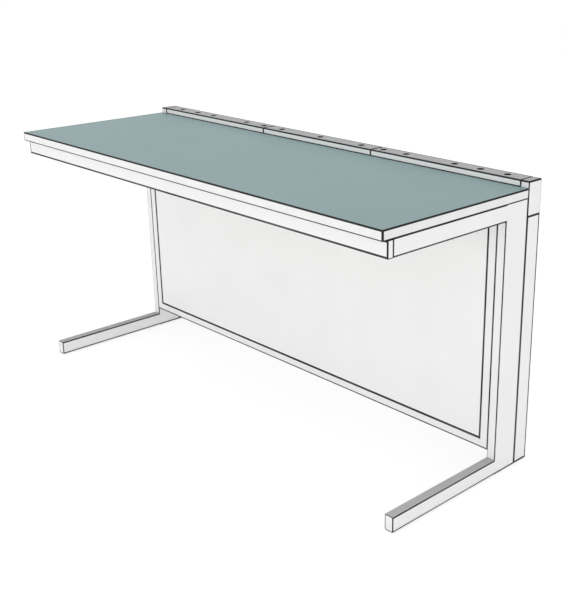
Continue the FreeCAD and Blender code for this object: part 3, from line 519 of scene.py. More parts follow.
@dataclass(frozen=True)
class Plated(Finish):
    """Bright zinc plating on turned and pressed steel, with a faint blue passivation here and there."""

    metallic: float = 1.0
    tint: str = "B9C0C6"
    drift: float = 6.0

    def pattern(self, tree: Tree, place: Socket, normal: Socket) -> Surface:
        """Lays the passivation's drift and the fine turning marks.

        Args:
            tree: Material's node tree.
            place: Object coordinates.
            normal: Smooth normal in the piece's own axes.

        Returns:
            The sockets that feed the shader.
        """
        drift, marks = (add(tree, "ShaderNodeTexNoise",
                            {"Vector": place, "Scale": scale_of(size)}).outputs["Fac"]
                        for size in (self.drift, self.grain))
        tone = self.lay(tree, drift, linear(self.colour), linear(self.tint))
        return Surface(tone, marks, self.gloss(tree, marks))


class Coat(Enum):
    """Every finish on the bench, under the name of its slot in the record."""

    # White polyester powder, fine texture: soft sheen, faint orange peel about 2 mm across.
    white_powder_coat = PowderCoat("white_powder_coat", "F1F1F1", rim=5.9)
    # The same powder on tubes that stand alone, and on sheet 1.5 mm thick. The sheet's is painted lighter,
    # as painted light for the ledge's front and the back panel, which get less light.
    white_coated_tube = PowderCoat("white_coated_tube", "F1F1F1", rim=7.5)
    # A lighter copy of the tube's powder: painted light for parts that stand in shade.
    white_coated_sheet = PowderCoat("white_coated_sheet", "F4F4F4", rim=3.0)
    # White polypropylene from a spark-eroded mould: matt, with a dark line painted along its edges.
    white_moulded_cap = Moulded("white_moulded_cap", "F1F1F1", 0.50, grain=0.6, rim=3.0)
    # Blue-green laminate with a pearl texture: satin, flecked on a scale drawn coarse enough to show. Its
    # blue-green is its own; its darkness is painted shade, the top as it looks in shade.
    green_blue_laminate = Laminate("green_blue_laminate", "7E9798", 0.50, grain=2.4, relief=0.03,
                                   edge="1C1A19", rim=4.6)
    # White balancing laminate under the worktop.
    white_laminate = Laminate("white_laminate", "E9E8E2", 0.50, grain=1.5, rim=1.0)
    # Three-layer chipboard, sawn: flakes about 3 mm long and 1 mm thick.
    chipboard = Chipboard("chipboard", "D9BE93", 0.85, grain=3.0, relief=0.15)
    # White polypropylene edging, extruded 2 mm thick and trimmed.
    white_edging = Moulded("white_edging", "ECECEC", 0.45, grain=0.8, relief=0.01, rim=4.0)
    # Extruded strip, matt, 1.5 mm thick; ribbed on the feet, where only the strip's own grey shows. That
    # grey is painted shade: it stands for the shade on the tops of the white ledge and feet.
    grey_strip = Moulded("grey_strip", "A3A4A3", 0.58, grain=0.7, relief=0.03, rim=5.0)
    grey_ribbed_strip = Moulded("grey_ribbed_strip", "C3C4C3", 0.62, grain=0.7, relief=0.03, edge="9A9B9A")
    # Black glass-filled nylon, matt enough to stay black at a flat angle.
    black_socket = Moulded("black_socket", "0B0C0C", 0.90, ior=1.15, grain=0.5, edge="0B0C0C")
    black_pad = Moulded("black_pad", "1B1C1D", 0.62, grain=0.5, relief=0.03, edge="242526")
    # Galvanised sheet steel, spangle about 4 mm.
    galvanised_sheet = Galvanised("galvanised_sheet", "B6BCBE", 0.42, grain=4.0, relief=0.01)
    # Bright zinc plating.
    zinc_plated_steel = Plated("zinc_plated_steel", "CDD0D2", 0.28, grain=0.35, relief=0.01)

    @property
    def slot(self) -> str:
        """Names the record's slot: sheet and tube share one powder, the sheet's painted lighter as painted
        light, and plain and ribbed strips share one grey, which is painted shade.

        Returns:
            The slot's name.
        """
        shared = {"white_coated_sheet": "white_powder_coat", "white_coated_tube": "white_powder_coat",
                  "grey_ribbed_strip": "grey_strip"}
        return shared.get(self.name, self.name)

    def material(self) -> bpy.types.Material:
        """Gives the finish's material, made once and named apart from the frame's own.

        Returns:
            The material, which every piece with this finish shares.
        """
        name = "finish_" + self.name
        made = bpy.data.materials.get(name)
        if not made:
            made = self.value.make()
            made.name = name
        return made


# ---------------------------------------------------------------- meshes

def cad(name: str) -> Piece:
    """Gives a CAD node by its name."""
    return frame["nodes"][name]


def coat_of(name: str) -> Coat:
    """Gives the finish that the record names for a CAD node."""
    slots = {piece["node"]: piece["material_slot"] for piece in frame["record"]["subparts"]}
    return Coat[slots[name]]


def body_of(name: str) -> str:
    """Gives the body that a CAD node rides on."""
    return next(body for body, nodes in frame["record"]["behaviour"]["bodies"].items() if name in nodes)


def whole(name: str) -> list[Box]:
    """Gives a CAD node's own box, for a piece that is one plain block to the eye."""
    return [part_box(name)]


def mark(piece: Piece, boxes: Sequence[Box]) -> None:
    """Writes the boxes that a piece is made of on its mesh, for the finish to find their edges.

    Args:
        piece: Object with its mesh in place.
        boxes: Lowest and highest corner of each box, four at most.
    """
    for number in range(BOXES):
        for end, corner in zip(ENDS, boxes[min(number, len(boxes) - 1)]):
            values = piece.data.attributes.new(f"{end}_{number + 1}", "FLOAT_VECTOR", "POINT")
            values.data.foreach_set("vector", list(corner) * len(piece.data.vertices))


def put_on(piece: Piece, coat: Coat) -> None:
    """Puts one finish on the whole of a piece."""
    piece.data.materials.clear()
    piece.data.materials.append(coat.material())


def linked(name: str, data: bpy.types.ID) -> Piece:
    """Makes a mesh, lamp or camera a new object of the scene.

    Args:
        name: The object's name.
        data: What it shows.

    Returns:
        The new object, at the origin.
    """
    piece = bpy.data.objects.new(name, data)
    bpy.context.scene.collection.objects.link(piece)
    return piece


def merged(name: str) -> bmesh.types.BMesh:
    """Gives a CAD node's mesh with its doubles merged and its points on whole micrometres.

    Args:
        name: The node.

    Returns:
        A mesh in work, which the caller frees.
    """
    shape = bmesh.new()
    shape.from_mesh(cad(name).data)
    bmesh.ops.remove_doubles(shape, verts=shape.verts, dist=SAME)
    for point in shape.verts:
        point.co = [round(place, 6) for place in point.co]
    return shape


def merged_copy(name: str) -> Piece:
    """Copies a CAD node as one joined mesh, whose flush faces are exactly flush.

    Args:
        name: The node.

    Returns:
        A new object with no normals of its own.
    """
    shape = merged(name)
    mesh = bpy.data.meshes.new(name + "_copy")
    shape.to_mesh(mesh)
    shape.free()
    return linked(name + "_copy", mesh)


def applied(piece: Piece) -> Piece:
    """Turns a piece's modifiers into plain mesh.

    Args:
        piece: Object with live modifiers.

    Returns:
        The same object, with the result as its mesh and no modifiers left.
    """
    graph = bpy.context.evaluated_depsgraph_get()
    mesh = bpy.data.meshes.new_from_object(piece.evaluated_get(graph))
    piece.modifiers.clear()
    piece.data = mesh
    return piece


def smooth(piece: Piece, sharp: float = 32.0) -> None:
    """Shades a piece smooth, apart from edges that turn by more than sharp degrees.

    Args:
        piece: Object with its mesh in place.
        sharp: Turn above which an edge stays sharp, in degrees.
    """
    for face in piece.data.polygons:
        face.use_smooth = True
    piece.data.set_sharp_from_angle(angle=math.radians(sharp))


def even_normals(piece: Piece) -> None:
    """Adds a modifier that takes the normals from the largest faces, so that flats look flat.

    Args:
        piece: Object that is shaded smooth.
    """
    weighted = piece.modifiers.new("even_normals", "WEIGHTED_NORMAL")
    weighted.keep_sharp = True
    weighted.weight = FACE_WEIGHT


def ease_edges(piece: Piece, width: float, segments: int = 3) -> None:
    """Breaks a carried-over piece's sharp edges, as a deburred or moulded edge is.

    Args:
        piece: CAD node. Its mesh stays, and only modifiers go on.
        width: Width of the broken edge, in millimetres.
        segments: Facets across it.
    """
    own = piece.data.attributes.get("custom_normal")
    if own:
        piece.data.attributes.remove(own)
    for face in piece.data.polygons:
        face.use_smooth = True
    weld = piece.modifiers.new("weld", "WELD")
    weld.merge_threshold = SAME
    flats = piece.modifiers.new("flats", "DECIMATE")
    flats.decimate_type = "DISSOLVE"
    flats.angle_limit = FLAT_TURN
    bevel = piece.modifiers.new("eased_edges", "BEVEL")
    bevel.width = width * MM
    bevel.segments = segments
    bevel.limit_method = "ANGLE"
    bevel.angle_limit = EASED_TURN
    bevel.harden_normals = True
    even_normals(piece)


def turned(name: str, profile: Profile, sides: int, ring: bool = False) -> Piece:
    """Turns a profile about Z, as on a lathe.

    Args:
        name: The piece's name.
        profile: Radius and height in millimetres, point by point, or a function of the angle that
            gives them where the shape isn't round.
        sides: Facets all round.
        ring: True where the profile closes on itself, False where it starts and ends on the axis.

    Returns:
        A closed piece about the origin, its faces outwards.
    """
    shape = bmesh.new()
    rows = []
    for point in profile:
        if not callable(point) and point[0] == 0:
            rows.append([shape.verts.new((0, 0, point[1] * MM))] * sides)
            continue
        row = []
        for step in range(sides):
            angle = 2 * math.pi * step / sides
            radius, height = point(angle) if callable(point) else point
            row.append(shape.verts.new((radius * MM * math.cos(angle), radius * MM * math.sin(angle),
                                        height * MM)))
        rows.append(row)
    pairs = list(zip(rows, rows[1:])) + ([(rows[-1], rows[0])] if ring else [])
    for lower, upper in pairs:
        for step in range(sides):
            after = (step + 1) % sides
            corners = [lower[step], lower[after], upper[after], upper[step]]
            shape.faces.new(list(dict.fromkeys(corners)))
    bmesh.ops.recalc_face_normals(shape, faces=shape.faces)
    mesh = bpy.data.meshes.new(name)
    shape.to_mesh(mesh)
    shape.free()
    piece = linked(name, mesh)
    smooth(piece)
    return piece


def hexagon(corner: float, height: float, chamfer: float = 0.0, turn: int = 1) -> Callable[[float], Span]:
    """Gives a six-sided ring for a turned profile.

    Args:
        corner: Radius of its corners, in millimetres.
        height: Where it lies, in millimetres.
        chamfer: Radius beyond which a 30 degree chamfer cuts the corners away, or 0 for none.
        turn: 1 where the chamfer looks up, -1 where it looks down.

    Returns:
        A function that gives the ring's radius and height at an angle.
    """
    def point(angle: float) -> Span:
        """Gives the radius and the height at one angle."""
        radius = corner * math.cos(math.pi / 6) / math.cos(angle % (math.pi / 3) - math.pi / 6)
        cut = max(0.0, radius - chamfer) * math.tan(math.pi / 6) if chamfer else 0.0
        return radius, height - turn * cut
    return point


def waved(radius: float, height: float, depth: float, waves: int) -> Callable[[float], Span]:
    """Gives a ring whose radius goes in and out, as a knurl, a grip or a six-lobed recess does.

    Args:
        radius: Middle radius, in millimetres.
        height: Where it lies, in millimetres.
        depth: How far it goes in and out, in millimetres.
        waves: Lobes all round.

    Returns:
        A function that gives the ring's radius and height at an angle.
    """
    def point(angle: float) -> Span:
        """Gives the radius and the height at one angle."""
        return radius + depth * math.cos(waves * angle), height
    return point


def thread(radius: float, top: float, bottom: float, pitch: float) -> list[Span]:
    """Gives the crests and roots of a thread, from its top to its bottom, in millimetres.

    Args:
        radius: Radius of the crests.
        top: Where it starts.
        bottom: Where it ends.
        pitch: Height of one turn.

    Returns:
        Radius and height, point by point.
    """
    turns = int((top - bottom) / pitch)
    depth = THREAD_DEPTH * pitch
    return [(radius - depth * (step % 2), top - step * pitch / 2) for step in range(1, 2 * turns)]


# ---------------------------------------------------------------- seats and geometry nodes

@dataclass(frozen=True)
class Seat:
    """Where one small piece sits: the middle of its solid and the way its head points."""

    middle: Vector
    head: Vector


def solids(name: str) -> list[list[Vector]]:
    """Parts a CAD node into its separate solids.

    Args:
        name: The node.

    Returns:
        The points of each solid, ordered by its lowest corner.
    """
    shape = merged(name)
    left = set(shape.verts)
    found = []
    while left:
        group = [left.pop()]
        for point in group:
            near = {edge.other_vert(point) for edge in point.link_edges} & left
            left -= near
            group.extend(near)
        found.append([point.co.copy() for point in group])
    shape.free()
    return sorted(found, key=lambda points: [round(min(p[axis] for p in points), 5) for axis in range(3)])


def seat_of(points: list[Vector], axis: int | None, widest: float = 0.9) -> Seat:
    """Finds a fastener's seat from its solid.

    Args:
        points: The solid's points.
        axis: 0, 1 or 2 for the way it points, or None for its longest way.
        widest: Share of its greatest radius from which a point counts as its head's.

    Returns:
        Its middle, and the way from there to its widest end.
    """
    low = Vector([min(point[i] for point in points) for i in range(3)])
    high = Vector([max(point[i] for point in points) for i in range(3)])
    middle = (low + high) / 2
    if axis is None:
        axis = max(range(3), key=lambda i: high[i] - low[i])
    head = Vector([float(i == axis) for i in range(3)])
    away = [(point - middle - head * (point - middle).dot(head)).length for point in points]
    wide = [(point - middle).dot(head) for point, far in zip(points, away) if far > widest * max(away)]
    return Seat(middle, head if sum(wide) >= -SAME else -head)


def begun(name: str, **sockets: str) -> tuple[Tree, bpy.types.NodeOutputs]:
    """Starts a geometry node tree.

    Args:
        name: The tree's name.
        sockets: Kind of each input of its own, such as Pitch="Float". A geometry comes first and a
            material last in every tree.

    Returns:
        The tree and its inputs' sockets.
    """
    tree = bpy.data.node_groups.new(name, "GeometryNodeTree")
    tree.interface.new_socket("Geometry", in_out="OUTPUT", socket_type="NodeSocketGeometry")
    for socket, kind in {"Geometry": "Geometry", **sockets, "Material": "Material"}.items():
        tree.interface.new_socket(socket, in_out="INPUT", socket_type="NodeSocket" + kind)
    return tree, add(tree, "NodeGroupInput").outputs


def ended(tree: Tree, shape: Socket, material: Socket) -> Tree:
    """Ends a geometry node tree: the shape gets its material and goes out.

    Args:
        tree: The tree.
        shape: The geometry that it makes.
        material: The material that the shape gets.

    Returns:
        The same tree.
    """
    coated = add(tree, "GeometryNodeSetMaterial", {"Geometry": shape, "Material": material})
    add(tree, "NodeGroupOutput", {"Geometry": coated.outputs[0]})
    return tree


def grown(piece: Piece, tree: Tree, **values: object) -> Piece:
    """Runs a geometry node tree on a piece and keeps the result as plain mesh.

    Args:
        piece: Object whose mesh the tree starts from.
        tree: The tree.
        values: One value for each of the tree's named inputs.

    Returns:
        The same piece, with the tree's result as its mesh and no modifier.
    """
    modifier = piece.modifiers.new(tree.name, "NODES")
    modifier.node_group = tree
    for item in tree.interface.items_tree:
        if item.item_type == "SOCKET" and item.in_out == "INPUT" and item.name in values:
            modifier[item.identifier] = values[item.name]
    return applied(piece)


def scatter_tree() -> Tree:
    """Builds the tree that stands one piece on every seat, each turned about its axis by chance.

    Returns:
        The tree.
    """
    tree, given = begun("stand_on_seats", Piece="Object", Spin="Float", Seed="Int")
    piece = add(tree, "GeometryNodeObjectInfo", {"Object": given["Piece"]})
    turn = add(tree, "GeometryNodeInputNamedAttribute", {"Name": "turn"}, data_type="QUATERNION")
    chance = add(tree, "FunctionNodeRandomValue", {"Seed": given["Seed"], 3: given["Spin"]},
                 data_type="FLOAT")
    spin = add(tree, "FunctionNodeAxisAngleToRotation",
               {"Axis": (0, 0, 1), "Angle": chance.outputs[1]})
    stance = add(tree, "FunctionNodeRotateRotation",
                 {"Rotation": turn.outputs["Attribute"], "Rotate By": spin.outputs[0]},
                 rotation_space="LOCAL")
    stood = add(tree, "GeometryNodeInstanceOnPoints",
                {"Points": given["Geometry"], "Instance": piece.outputs["Geometry"],
                 "Rotation": stance.outputs[0]})
    real = add(tree, "GeometryNodeRealizeInstances", {"Geometry": stood.outputs[0]})
    return ended(tree, real.outputs[0], given["Material"])


@dataclass
class Scatter:
    """Stands copies of one detailed shape where a CAD node's solids are, and replaces that node."""

    node: str
    axis: int | None = None
    spin: float = math.tau
    seed: int = 1

    def stand(self, piece: Piece, tree: Tree) -> Piece:
        """Puts the shape on every seat of the node.

        Args:
            piece: The shape, about the origin, with its head up.
            tree: The tree that stands it on its seats.

        Returns:
            One plain mesh object, which rides on the node's body and stands for the node.
        """
        seats = [seat_of(points, self.axis) for points in solids(self.node)]
        mesh = bpy.data.meshes.new(self.node + "_detailed")
        mesh.from_pydata([seat.middle for seat in seats], [], [])
        turns = mesh.attributes.new("turn", "QUATERNION", "POINT")
        for value, seat in zip(turns.data, seats):
            value.value = Vector((0, 0, 1)).rotation_difference(seat.head)
        coat = coat_of(self.node)
        stood = linked(self.node + "_detailed", mesh)
        grown(stood, tree, Piece=piece, Spin=self.spin, Seed=self.seed, Material=coat.material())
        for extra in [a for a in stood.data.attributes if a.name == "turn"]:
            stood.data.attributes.remove(extra)
        hand_over(stood, coat, body_of(self.node), self.node)
        LOG.info("%s: %d pieces", stood.name, len(seats))
        return stood


def hand_over(piece: Piece, coat: Coat, body: str, *nodes: str) -> None:
    """Finishes a new piece: its material, its body and the nodes that it stands for.

    Args:
        piece: The finished piece.
        coat: Its finish.
        body: The body that it rides on.
        nodes: CAD nodes that it stands for, if any.
    """
    put_on(piece, coat)
    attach(piece, body)
    if nodes:
        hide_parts(*nodes)


def helix_tree(facets: int = 24, corners: int = 3) -> Tree:
    """Builds the tree that winds a thread's ridge round a spindle.

    Args:
        facets: Facets in one turn of the thread.
        corners: Corners of the ridge's section.

    Returns:
        The tree.
    """
    tree, given = begun("wind_thread", Radius="Float", Pitch="Float", Length="Float", Bottom="Float")
    turns = add(tree, "ShaderNodeMath", {0: given["Length"], 1: given["Pitch"]}, operation="DIVIDE")
    line = add(tree, "GeometryNodeCurveSpiral",
               {"Resolution": facets, "Rotations": turns.outputs[0], "Start Radius": given["Radius"],
                "End Radius": given["Radius"], "Height": given["Length"]})
    upright = add(tree, "GeometryNodeSetCurveNormal", {"Curve": line.outputs[0]}, mode="Z_UP")
    half = add(tree, "ShaderNodeMath", {0: given["Pitch"], 1: RIDGE}, operation="MULTIPLY")
    ridge = add(tree, "GeometryNodeCurvePrimitiveCircle",
                {"Resolution": corners, "Radius": half.outputs[0]})
    swept = add(tree, "GeometryNodeCurveToMesh",
                {"Curve": upright.outputs[0], "Profile Curve": ridge.outputs[0], "Fill Caps": True})
    lift = add(tree, "ShaderNodeCombineXYZ", {"Z": given["Bottom"]})
    raised = add(tree, "GeometryNodeTransform",
                 {"Geometry": swept.outputs[0], "Translation": lift.outputs[0]})
    both = add(tree, "GeometryNodeJoinGeometry")
    tree.links.new(raised.outputs[0], both.inputs[0])
    tree.links.new(given["Geometry"], both.inputs[0])
    real = add(tree, "GeometryNodeRealizeInstances", {"Geometry": both.outputs[0]})
    return ended(tree, real.outputs[0], given["Material"])


def bead_tree(least: float = 0.9, facets: int = 12, rings: int = 8) -> Tree:
    """Builds the tree that lays a ripple of weld beads along every edge of a mesh.

    Args:
        least: Size of the smallest bead, as a share of the largest.
        facets: Facets round a bead.
        rings: Facets from its top to its bottom.

    Returns:
        The tree.
    """
    tree, given = begun("lay_weld", Bead="Float", Pitch="Float", Seed="Int")
    lines = add(tree, "GeometryNodeMeshToCurve", {"Mesh": given["Geometry"]})
    along = add(tree, "GeometryNodeCurveToPoints", {"Curve": lines.outputs[0], "Length": given["Pitch"]},
                mode="LENGTH")
    drop = add(tree, "GeometryNodeMeshUVSphere",
               {"Segments": facets, "Rings": rings, "Radius": given["Bead"]})
    size = add(tree, "FunctionNodeRandomValue", {2: least, 3: 1.0, "Seed": given["Seed"]},
               data_type="FLOAT")
    laid = add(tree, "GeometryNodeInstanceOnPoints",
               {"Points": along.outputs[0], "Instance": drop.outputs[0], "Scale": size.outputs[1]})
    real = add(tree, "GeometryNodeRealizeInstances", {"Geometry": laid.outputs[0]})
    even = add(tree, "GeometryNodeSetShadeSmooth", {"Geometry": real.outputs[0]})
    return ended(tree, even.outputs[0], given["Material"])


def rib_tree() -> Tree:
    """Builds the tree that lays ribs side by side across a strip.

    Returns:
        The tree.
    """
    tree, given = begun("lay_ribs", Count="Int", Pitch="Float", Rib="Vector", First="Vector")
    step = add(tree, "ShaderNodeCombineXYZ", {"X": given["Pitch"]})
    row = add(tree, "GeometryNodeMeshLine",
              {"Count": given["Count"], "Start Location": given["First"], "Offset": step.outputs[0]})
    rib = add(tree, "GeometryNodeMeshCube", {"Size": given["Rib"]})
    laid = add(tree, "GeometryNodeInstanceOnPoints", {"Points": row.outputs[0], "Instance": rib.outputs[0]})
    real = add(tree, "GeometryNodeRealizeInstances", {"Geometry": laid.outputs[0]})
    both = add(tree, "GeometryNodeJoinGeometry")
    tree.links.new(real.outputs[0], both.inputs[0])
    tree.links.new(given["Geometry"], both.inputs[0])
    return ended(tree, both.outputs[0], given["Material"])


# ---------------------------------------------------------------- sub-assemblies
# Their sizes are in millimetres.

@dataclass
class Carried:
    """CAD pieces whose shape is right: they get their finish and broken edges."""

    names: Sequence[str]
    width: float = 0.0
    coat: Coat | None = None
    boxes: Callable[[str], list[Box]] = whole

    def dress(self) -> None:
        """Coats each piece and breaks its edges by the width, in millimetres."""
        for name in self.names:
            put_on(cad(name), self.coat or coat_of(name))
            mark(cad(name), self.boxes(name))
            if self.width:
                ease_edges(cad(name), self.width)
            LOG.info("%s dressed", name)


@dataclass
class WeldedFrame:
    """Tubes welded into one frame, their joints ground flush on the faces that show."""

    name: str
    tubes: Sequence[str]
    coped: Sequence[str] = ()
    boxes: Callable[[str], list[Box]] = whole
    filler: float = 3.0                 # how far a coped end goes into the upright
    margin: float = 0.5                 # points further back than this belong to the cope
    overlap: float = 60.0               # how far an arm's or a foot's marked box goes into the upright's
    sliver: float = 0.005               # faces thinner than this are the union's leftovers

    def fill_cope(self, tube: Piece, face: float) -> None:
        """Carries a coped end on into the upright, where the weld fills the joint flush.

        Args:
            tube: Copy of the coped tube.
            face: The upright's front face, in metres.
        """
        for point in tube.data.vertices:
            if point.co.y > face + self.margin * MM:
                point.co.y = face + self.filler * MM

    def build(self) -> Piece:
        """Joins copies of the tubes to one seamless frame.

        Returns:
            The frame, under its own name.
        """
        copies = {name: merged_copy(name) for name in self.tubes}
        for name in self.coped:
            self.fill_cope(copies[name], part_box(self.tubes[0])[0].y)
        first, *others = copies.values()
        for other in others:
            union = first.modifiers.new("weld", "BOOLEAN")
            union.operation = "UNION"
            union.solver = "MANIFOLD"
            union.object = other
        applied(first)
        for other in others:
            bpy.data.objects.remove(other)
        self.clean(first)
        first.name = self.name
        return first

    def clean(self, piece: Piece) -> None:
        """Takes out the slivers that a union leaves, and makes each flat one face.

        Args:
            piece: The joined frame.
        """
        shape = bmesh.new()
        shape.from_mesh(piece.data)
        bmesh.ops.dissolve_degenerate(shape, dist=self.sliver * MM, edges=shape.edges)
        bmesh.ops.dissolve_limit(shape, angle_limit=FLAT_TURN, verts=shape.verts, edges=shape.edges)
        shape.to_mesh(piece.data)
        shape.free()

    def dress(self) -> None:
        """Builds the frame, coats it and hands it to the bench's body."""
        piece = self.build()
        into = {name: Vector((0, self.overlap * MM, 0)) for name in self.coped}
        mark(piece, [(low, high + into.get(name, Vector()))
                     for name in self.tubes for low, high in self.boxes(name)])
        smooth(piece)
        even_normals(piece)
        hand_over(piece, Coat.white_powder_coat, "bench", *self.tubes)
        LOG.info("%s welded from %d tubes", self.name, len(self.tubes))


@dataclass
class Frames:
    """Everything in coated steel: the C-frames, the panel frame, posts, rails and their weld beads."""

    bead: float = 2.0
    bead_pitch: float = 1.1
    bead_end: float = 3.5
    bead_seed: int = 7
    shared: float = 2.5                 # how far a marked box goes past a shared edge, for each letter

    def corners(self) -> list[tuple[Vector, Vector]]:
        """Gives the inside corners that are welded and left as laid: under each arm, at its upright.

        Returns:
            Both ends of each line.
        """
        lines = []
        for side in SIDES:
            low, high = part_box(f"upright_{side}")
            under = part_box(f"arm_tube_{side}")[0].z
            ends = (low.x + self.bead_end * MM, high.x - self.bead_end * MM)
            lines.append(tuple(Vector((x, low.y, under)) for x in ends))
        return lines

    def beads(self) -> None:
        """Lays the weld beads."""
        lines = self.corners()
        mesh = bpy.data.meshes.new("weld_beads")
        mesh.from_pydata([end for line in lines for end in line],
                         [(2 * i, 2 * i + 1) for i in range(len(lines))], [])
        beads = grown(linked("weld_beads", mesh), bead_tree(), Bead=self.bead * MM,
                      Pitch=self.bead_pitch * MM, Seed=self.bead_seed,
                      Material=Coat.white_powder_coat.material())
        hand_over(beads, Coat.white_powder_coat, "bench")
        LOG.info("weld_beads laid in %d corners", len(lines))

    def shared_boxes(self, name: str) -> list[Box]:
        """Gives a tube's box, carried on past the edges that its neighbour's finish marks too.

        A small letter stands for a low side and a capital for a high one, and two letters go twice
        as far.

        Args:
            name: The CAD tube.

        Returns:
            The one box, in a list.
        """
        kind = name.removesuffix("_left").removesuffix("_right")
        sides = {"panel_frame_bottom": "Z", "panel_frame_top": "z", "panel_frame": "xX",
                 "rear_post": "y", "upright": "xXyZZ", "arm_tube": "yZZ", "foot_tube": "yy",
                 "front_rail": "xxXX"}.get(kind, "")
        low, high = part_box(name)
        for axis, letter in enumerate("xyz"):
            low[axis] -= self.shared * MM * sides.count(letter)
            high[axis] += self.shared * MM * sides.count(letter.upper())
        return [(low, high)]

    def dress(self) -> None:
        """Builds and dresses the frames."""
        for side in SIDES:
            coped = (f"arm_tube_{side}", f"foot_tube_{side}")
            WeldedFrame(f"c_frame_{side}", (f"upright_{side}", *coped), coped, self.shared_boxes).dress()
        panel = [f"panel_frame_{part}" for part in ("bottom", "left", "top", "right")]
        Carried(panel, boxes=self.shared_boxes).dress()
        Carried([*(f"rear_post_{side}" for side in SIDES), "front_rail", "service_rail"],
                coat=Coat.white_coated_tube, boxes=self.shared_boxes).dress()
        self.beads()


@dataclass
class Caps:
    """Moulded caps in the tubes' ends and on top of the posts."""

    width: float = 1.2

    def dress(self) -> None:
        """Dresses every cap."""
        kinds = ("foot_end_cap", "front_rail_cap", "ledge_end_cap")
        Carried([f"{kind}_{side}" for kind in kinds for side in SIDES], self.width).dress()


@dataclass
class Worktop:
    """Chipboard core between two laminates, edged on three sides."""

    laminate_edge: float = 0.3
    radius: float = 1.95
    facets: int = 5

    def rounded(self, edge: bmesh.types.BMEdge, outer: dict[int, float]) -> bool:
        """Tells whether an edge of the edging is one that the profile cutter rounds.

        Args:
            edge: An edge of the plain strip.
            outer: Where the worktop's outer faces lie, by axis.

        Returns:
            True where the edge lies on two of those faces or more.
        """
        faces = [axis for axis, at in outer.items()
                 if all(abs(point.co[axis] - at) < SAME for point in edge.verts)]
        return len(faces) >= 2

    def edging(self, place: str) -> Piece:
        """Builds one strip of edging, rounded along the worktop's lower edge and its front corners.

        Args:
            place: "front", "left" or "right".

        Returns:
            The strip, in the space of the CAD strip.
        """
        low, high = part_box(f"edge_band_{place}")
        shape = bmesh.new()
        bmesh.ops.create_cube(shape, size=1.0)
        for point in shape.verts:
            point.co = [low[axis] if point.co[axis] < 0 else high[axis] for axis in range(3)]
        top_low, top_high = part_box("worktop_surface")
        sides = {"front": (1, top_low.y), "left": (0, top_low.x), "right": (0, top_high.x)}
        outer = dict([sides[place], (2, low.z)])
        edges = [edge for edge in shape.edges if self.rounded(edge, outer)]
        if place == "front":
            for end in (low.x, high.x):
                edges += [edge for edge in shape.edges if self.rounded(edge, {0: end, 1: low.y})]
        bmesh.ops.bevel(shape, geom=edges, offset=self.radius * MM, segments=self.facets, profile=0.5,
                        affect="EDGES", clamp_overlap=True)
        mesh = bpy.data.meshes.new(f"edging_{place}")
        shape.to_mesh(mesh)
        shape.free()
        strip = linked(mesh.name, mesh)
        smooth(strip)
        even_normals(strip)
        mark(strip, [(low, high)])
        return strip

    def dress(self) -> None:
        """Dresses the board and its laminates, and builds its edging."""
        Carried(["worktop_surface", "worktop_backing"], self.laminate_edge).dress()
        Carried(["worktop_core"]).dress()
        for place in ("front", *SIDES):
            strip = self.edging(place)
            hand_over(strip, Coat.white_edging, "bench", f"edge_band_{place}")
            LOG.info("%s built", strip.name)


@dataclass
class ScuffStrips:
    """Ribbed strips on top of the feet, where shoes rub, in a grey that is painted shade on the feet's
    tops.
    """

    ribs: int = 9
    pitch: float = 3.0
    rib_width: float = 1.6
    base: float = 0.45
    gap: float = 0.1                    # how far a rib stays inside the strip's ends and foot
    edge: float = 0.2

    def build(self, side: str) -> Piece:
        """Builds one strip: a thin base with ribs along it.

        Args:
            side: "left" or "right".

        Returns:
            The strip, in the space of the CAD strip.
        """
        low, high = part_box(f"foot_scuff_strip_{side}")
        name = f"ribbed_strip_{side}"
        corners = [(x, y, z) for z in (low.z, low.z + self.base * MM) for y in (low.y, high.y)
                   for x in (low.x, high.x)]
        mesh = bpy.data.meshes.new(name)
        mesh.from_pydata(corners, [], [(0, 2, 3, 1), (4, 5, 7, 6), (0, 1, 5, 4), (2, 6, 7, 3),
                                       (0, 4, 6, 2), (1, 3, 7, 5)])
        middle = (low + high) / 2
        height = high.z - low.z
        span = (self.ribs - 1) * self.pitch * MM
        strip = grown(linked(name, mesh), rib_tree(), Count=self.ribs, Pitch=self.pitch * MM,
                      Rib=(self.rib_width * MM, high.y - low.y - 2 * self.gap * MM, height - self.gap * MM),
                      First=(middle.x - span / 2, middle.y, middle.z + self.gap * MM / 2),
                      Material=Coat.grey_ribbed_strip.material())
        bevel = strip.modifiers.new("ribs_rounded", "BEVEL")
        bevel.width = self.edge * MM
        bevel.segments = 2
        bevel.limit_method = "ANGLE"
        bevel.harden_normals = True
        return strip

    def dress(self) -> None:
        """Builds both strips."""
        for side in SIDES:
            strip = self.build(side)
            for face in strip.data.polygons:
                face.use_smooth = True
            hand_over(strip, Coat.grey_ribbed_strip, "bench", f"foot_scuff_strip_{side}")
            LOG.info("%s: %d ribs", strip.name, self.ribs)


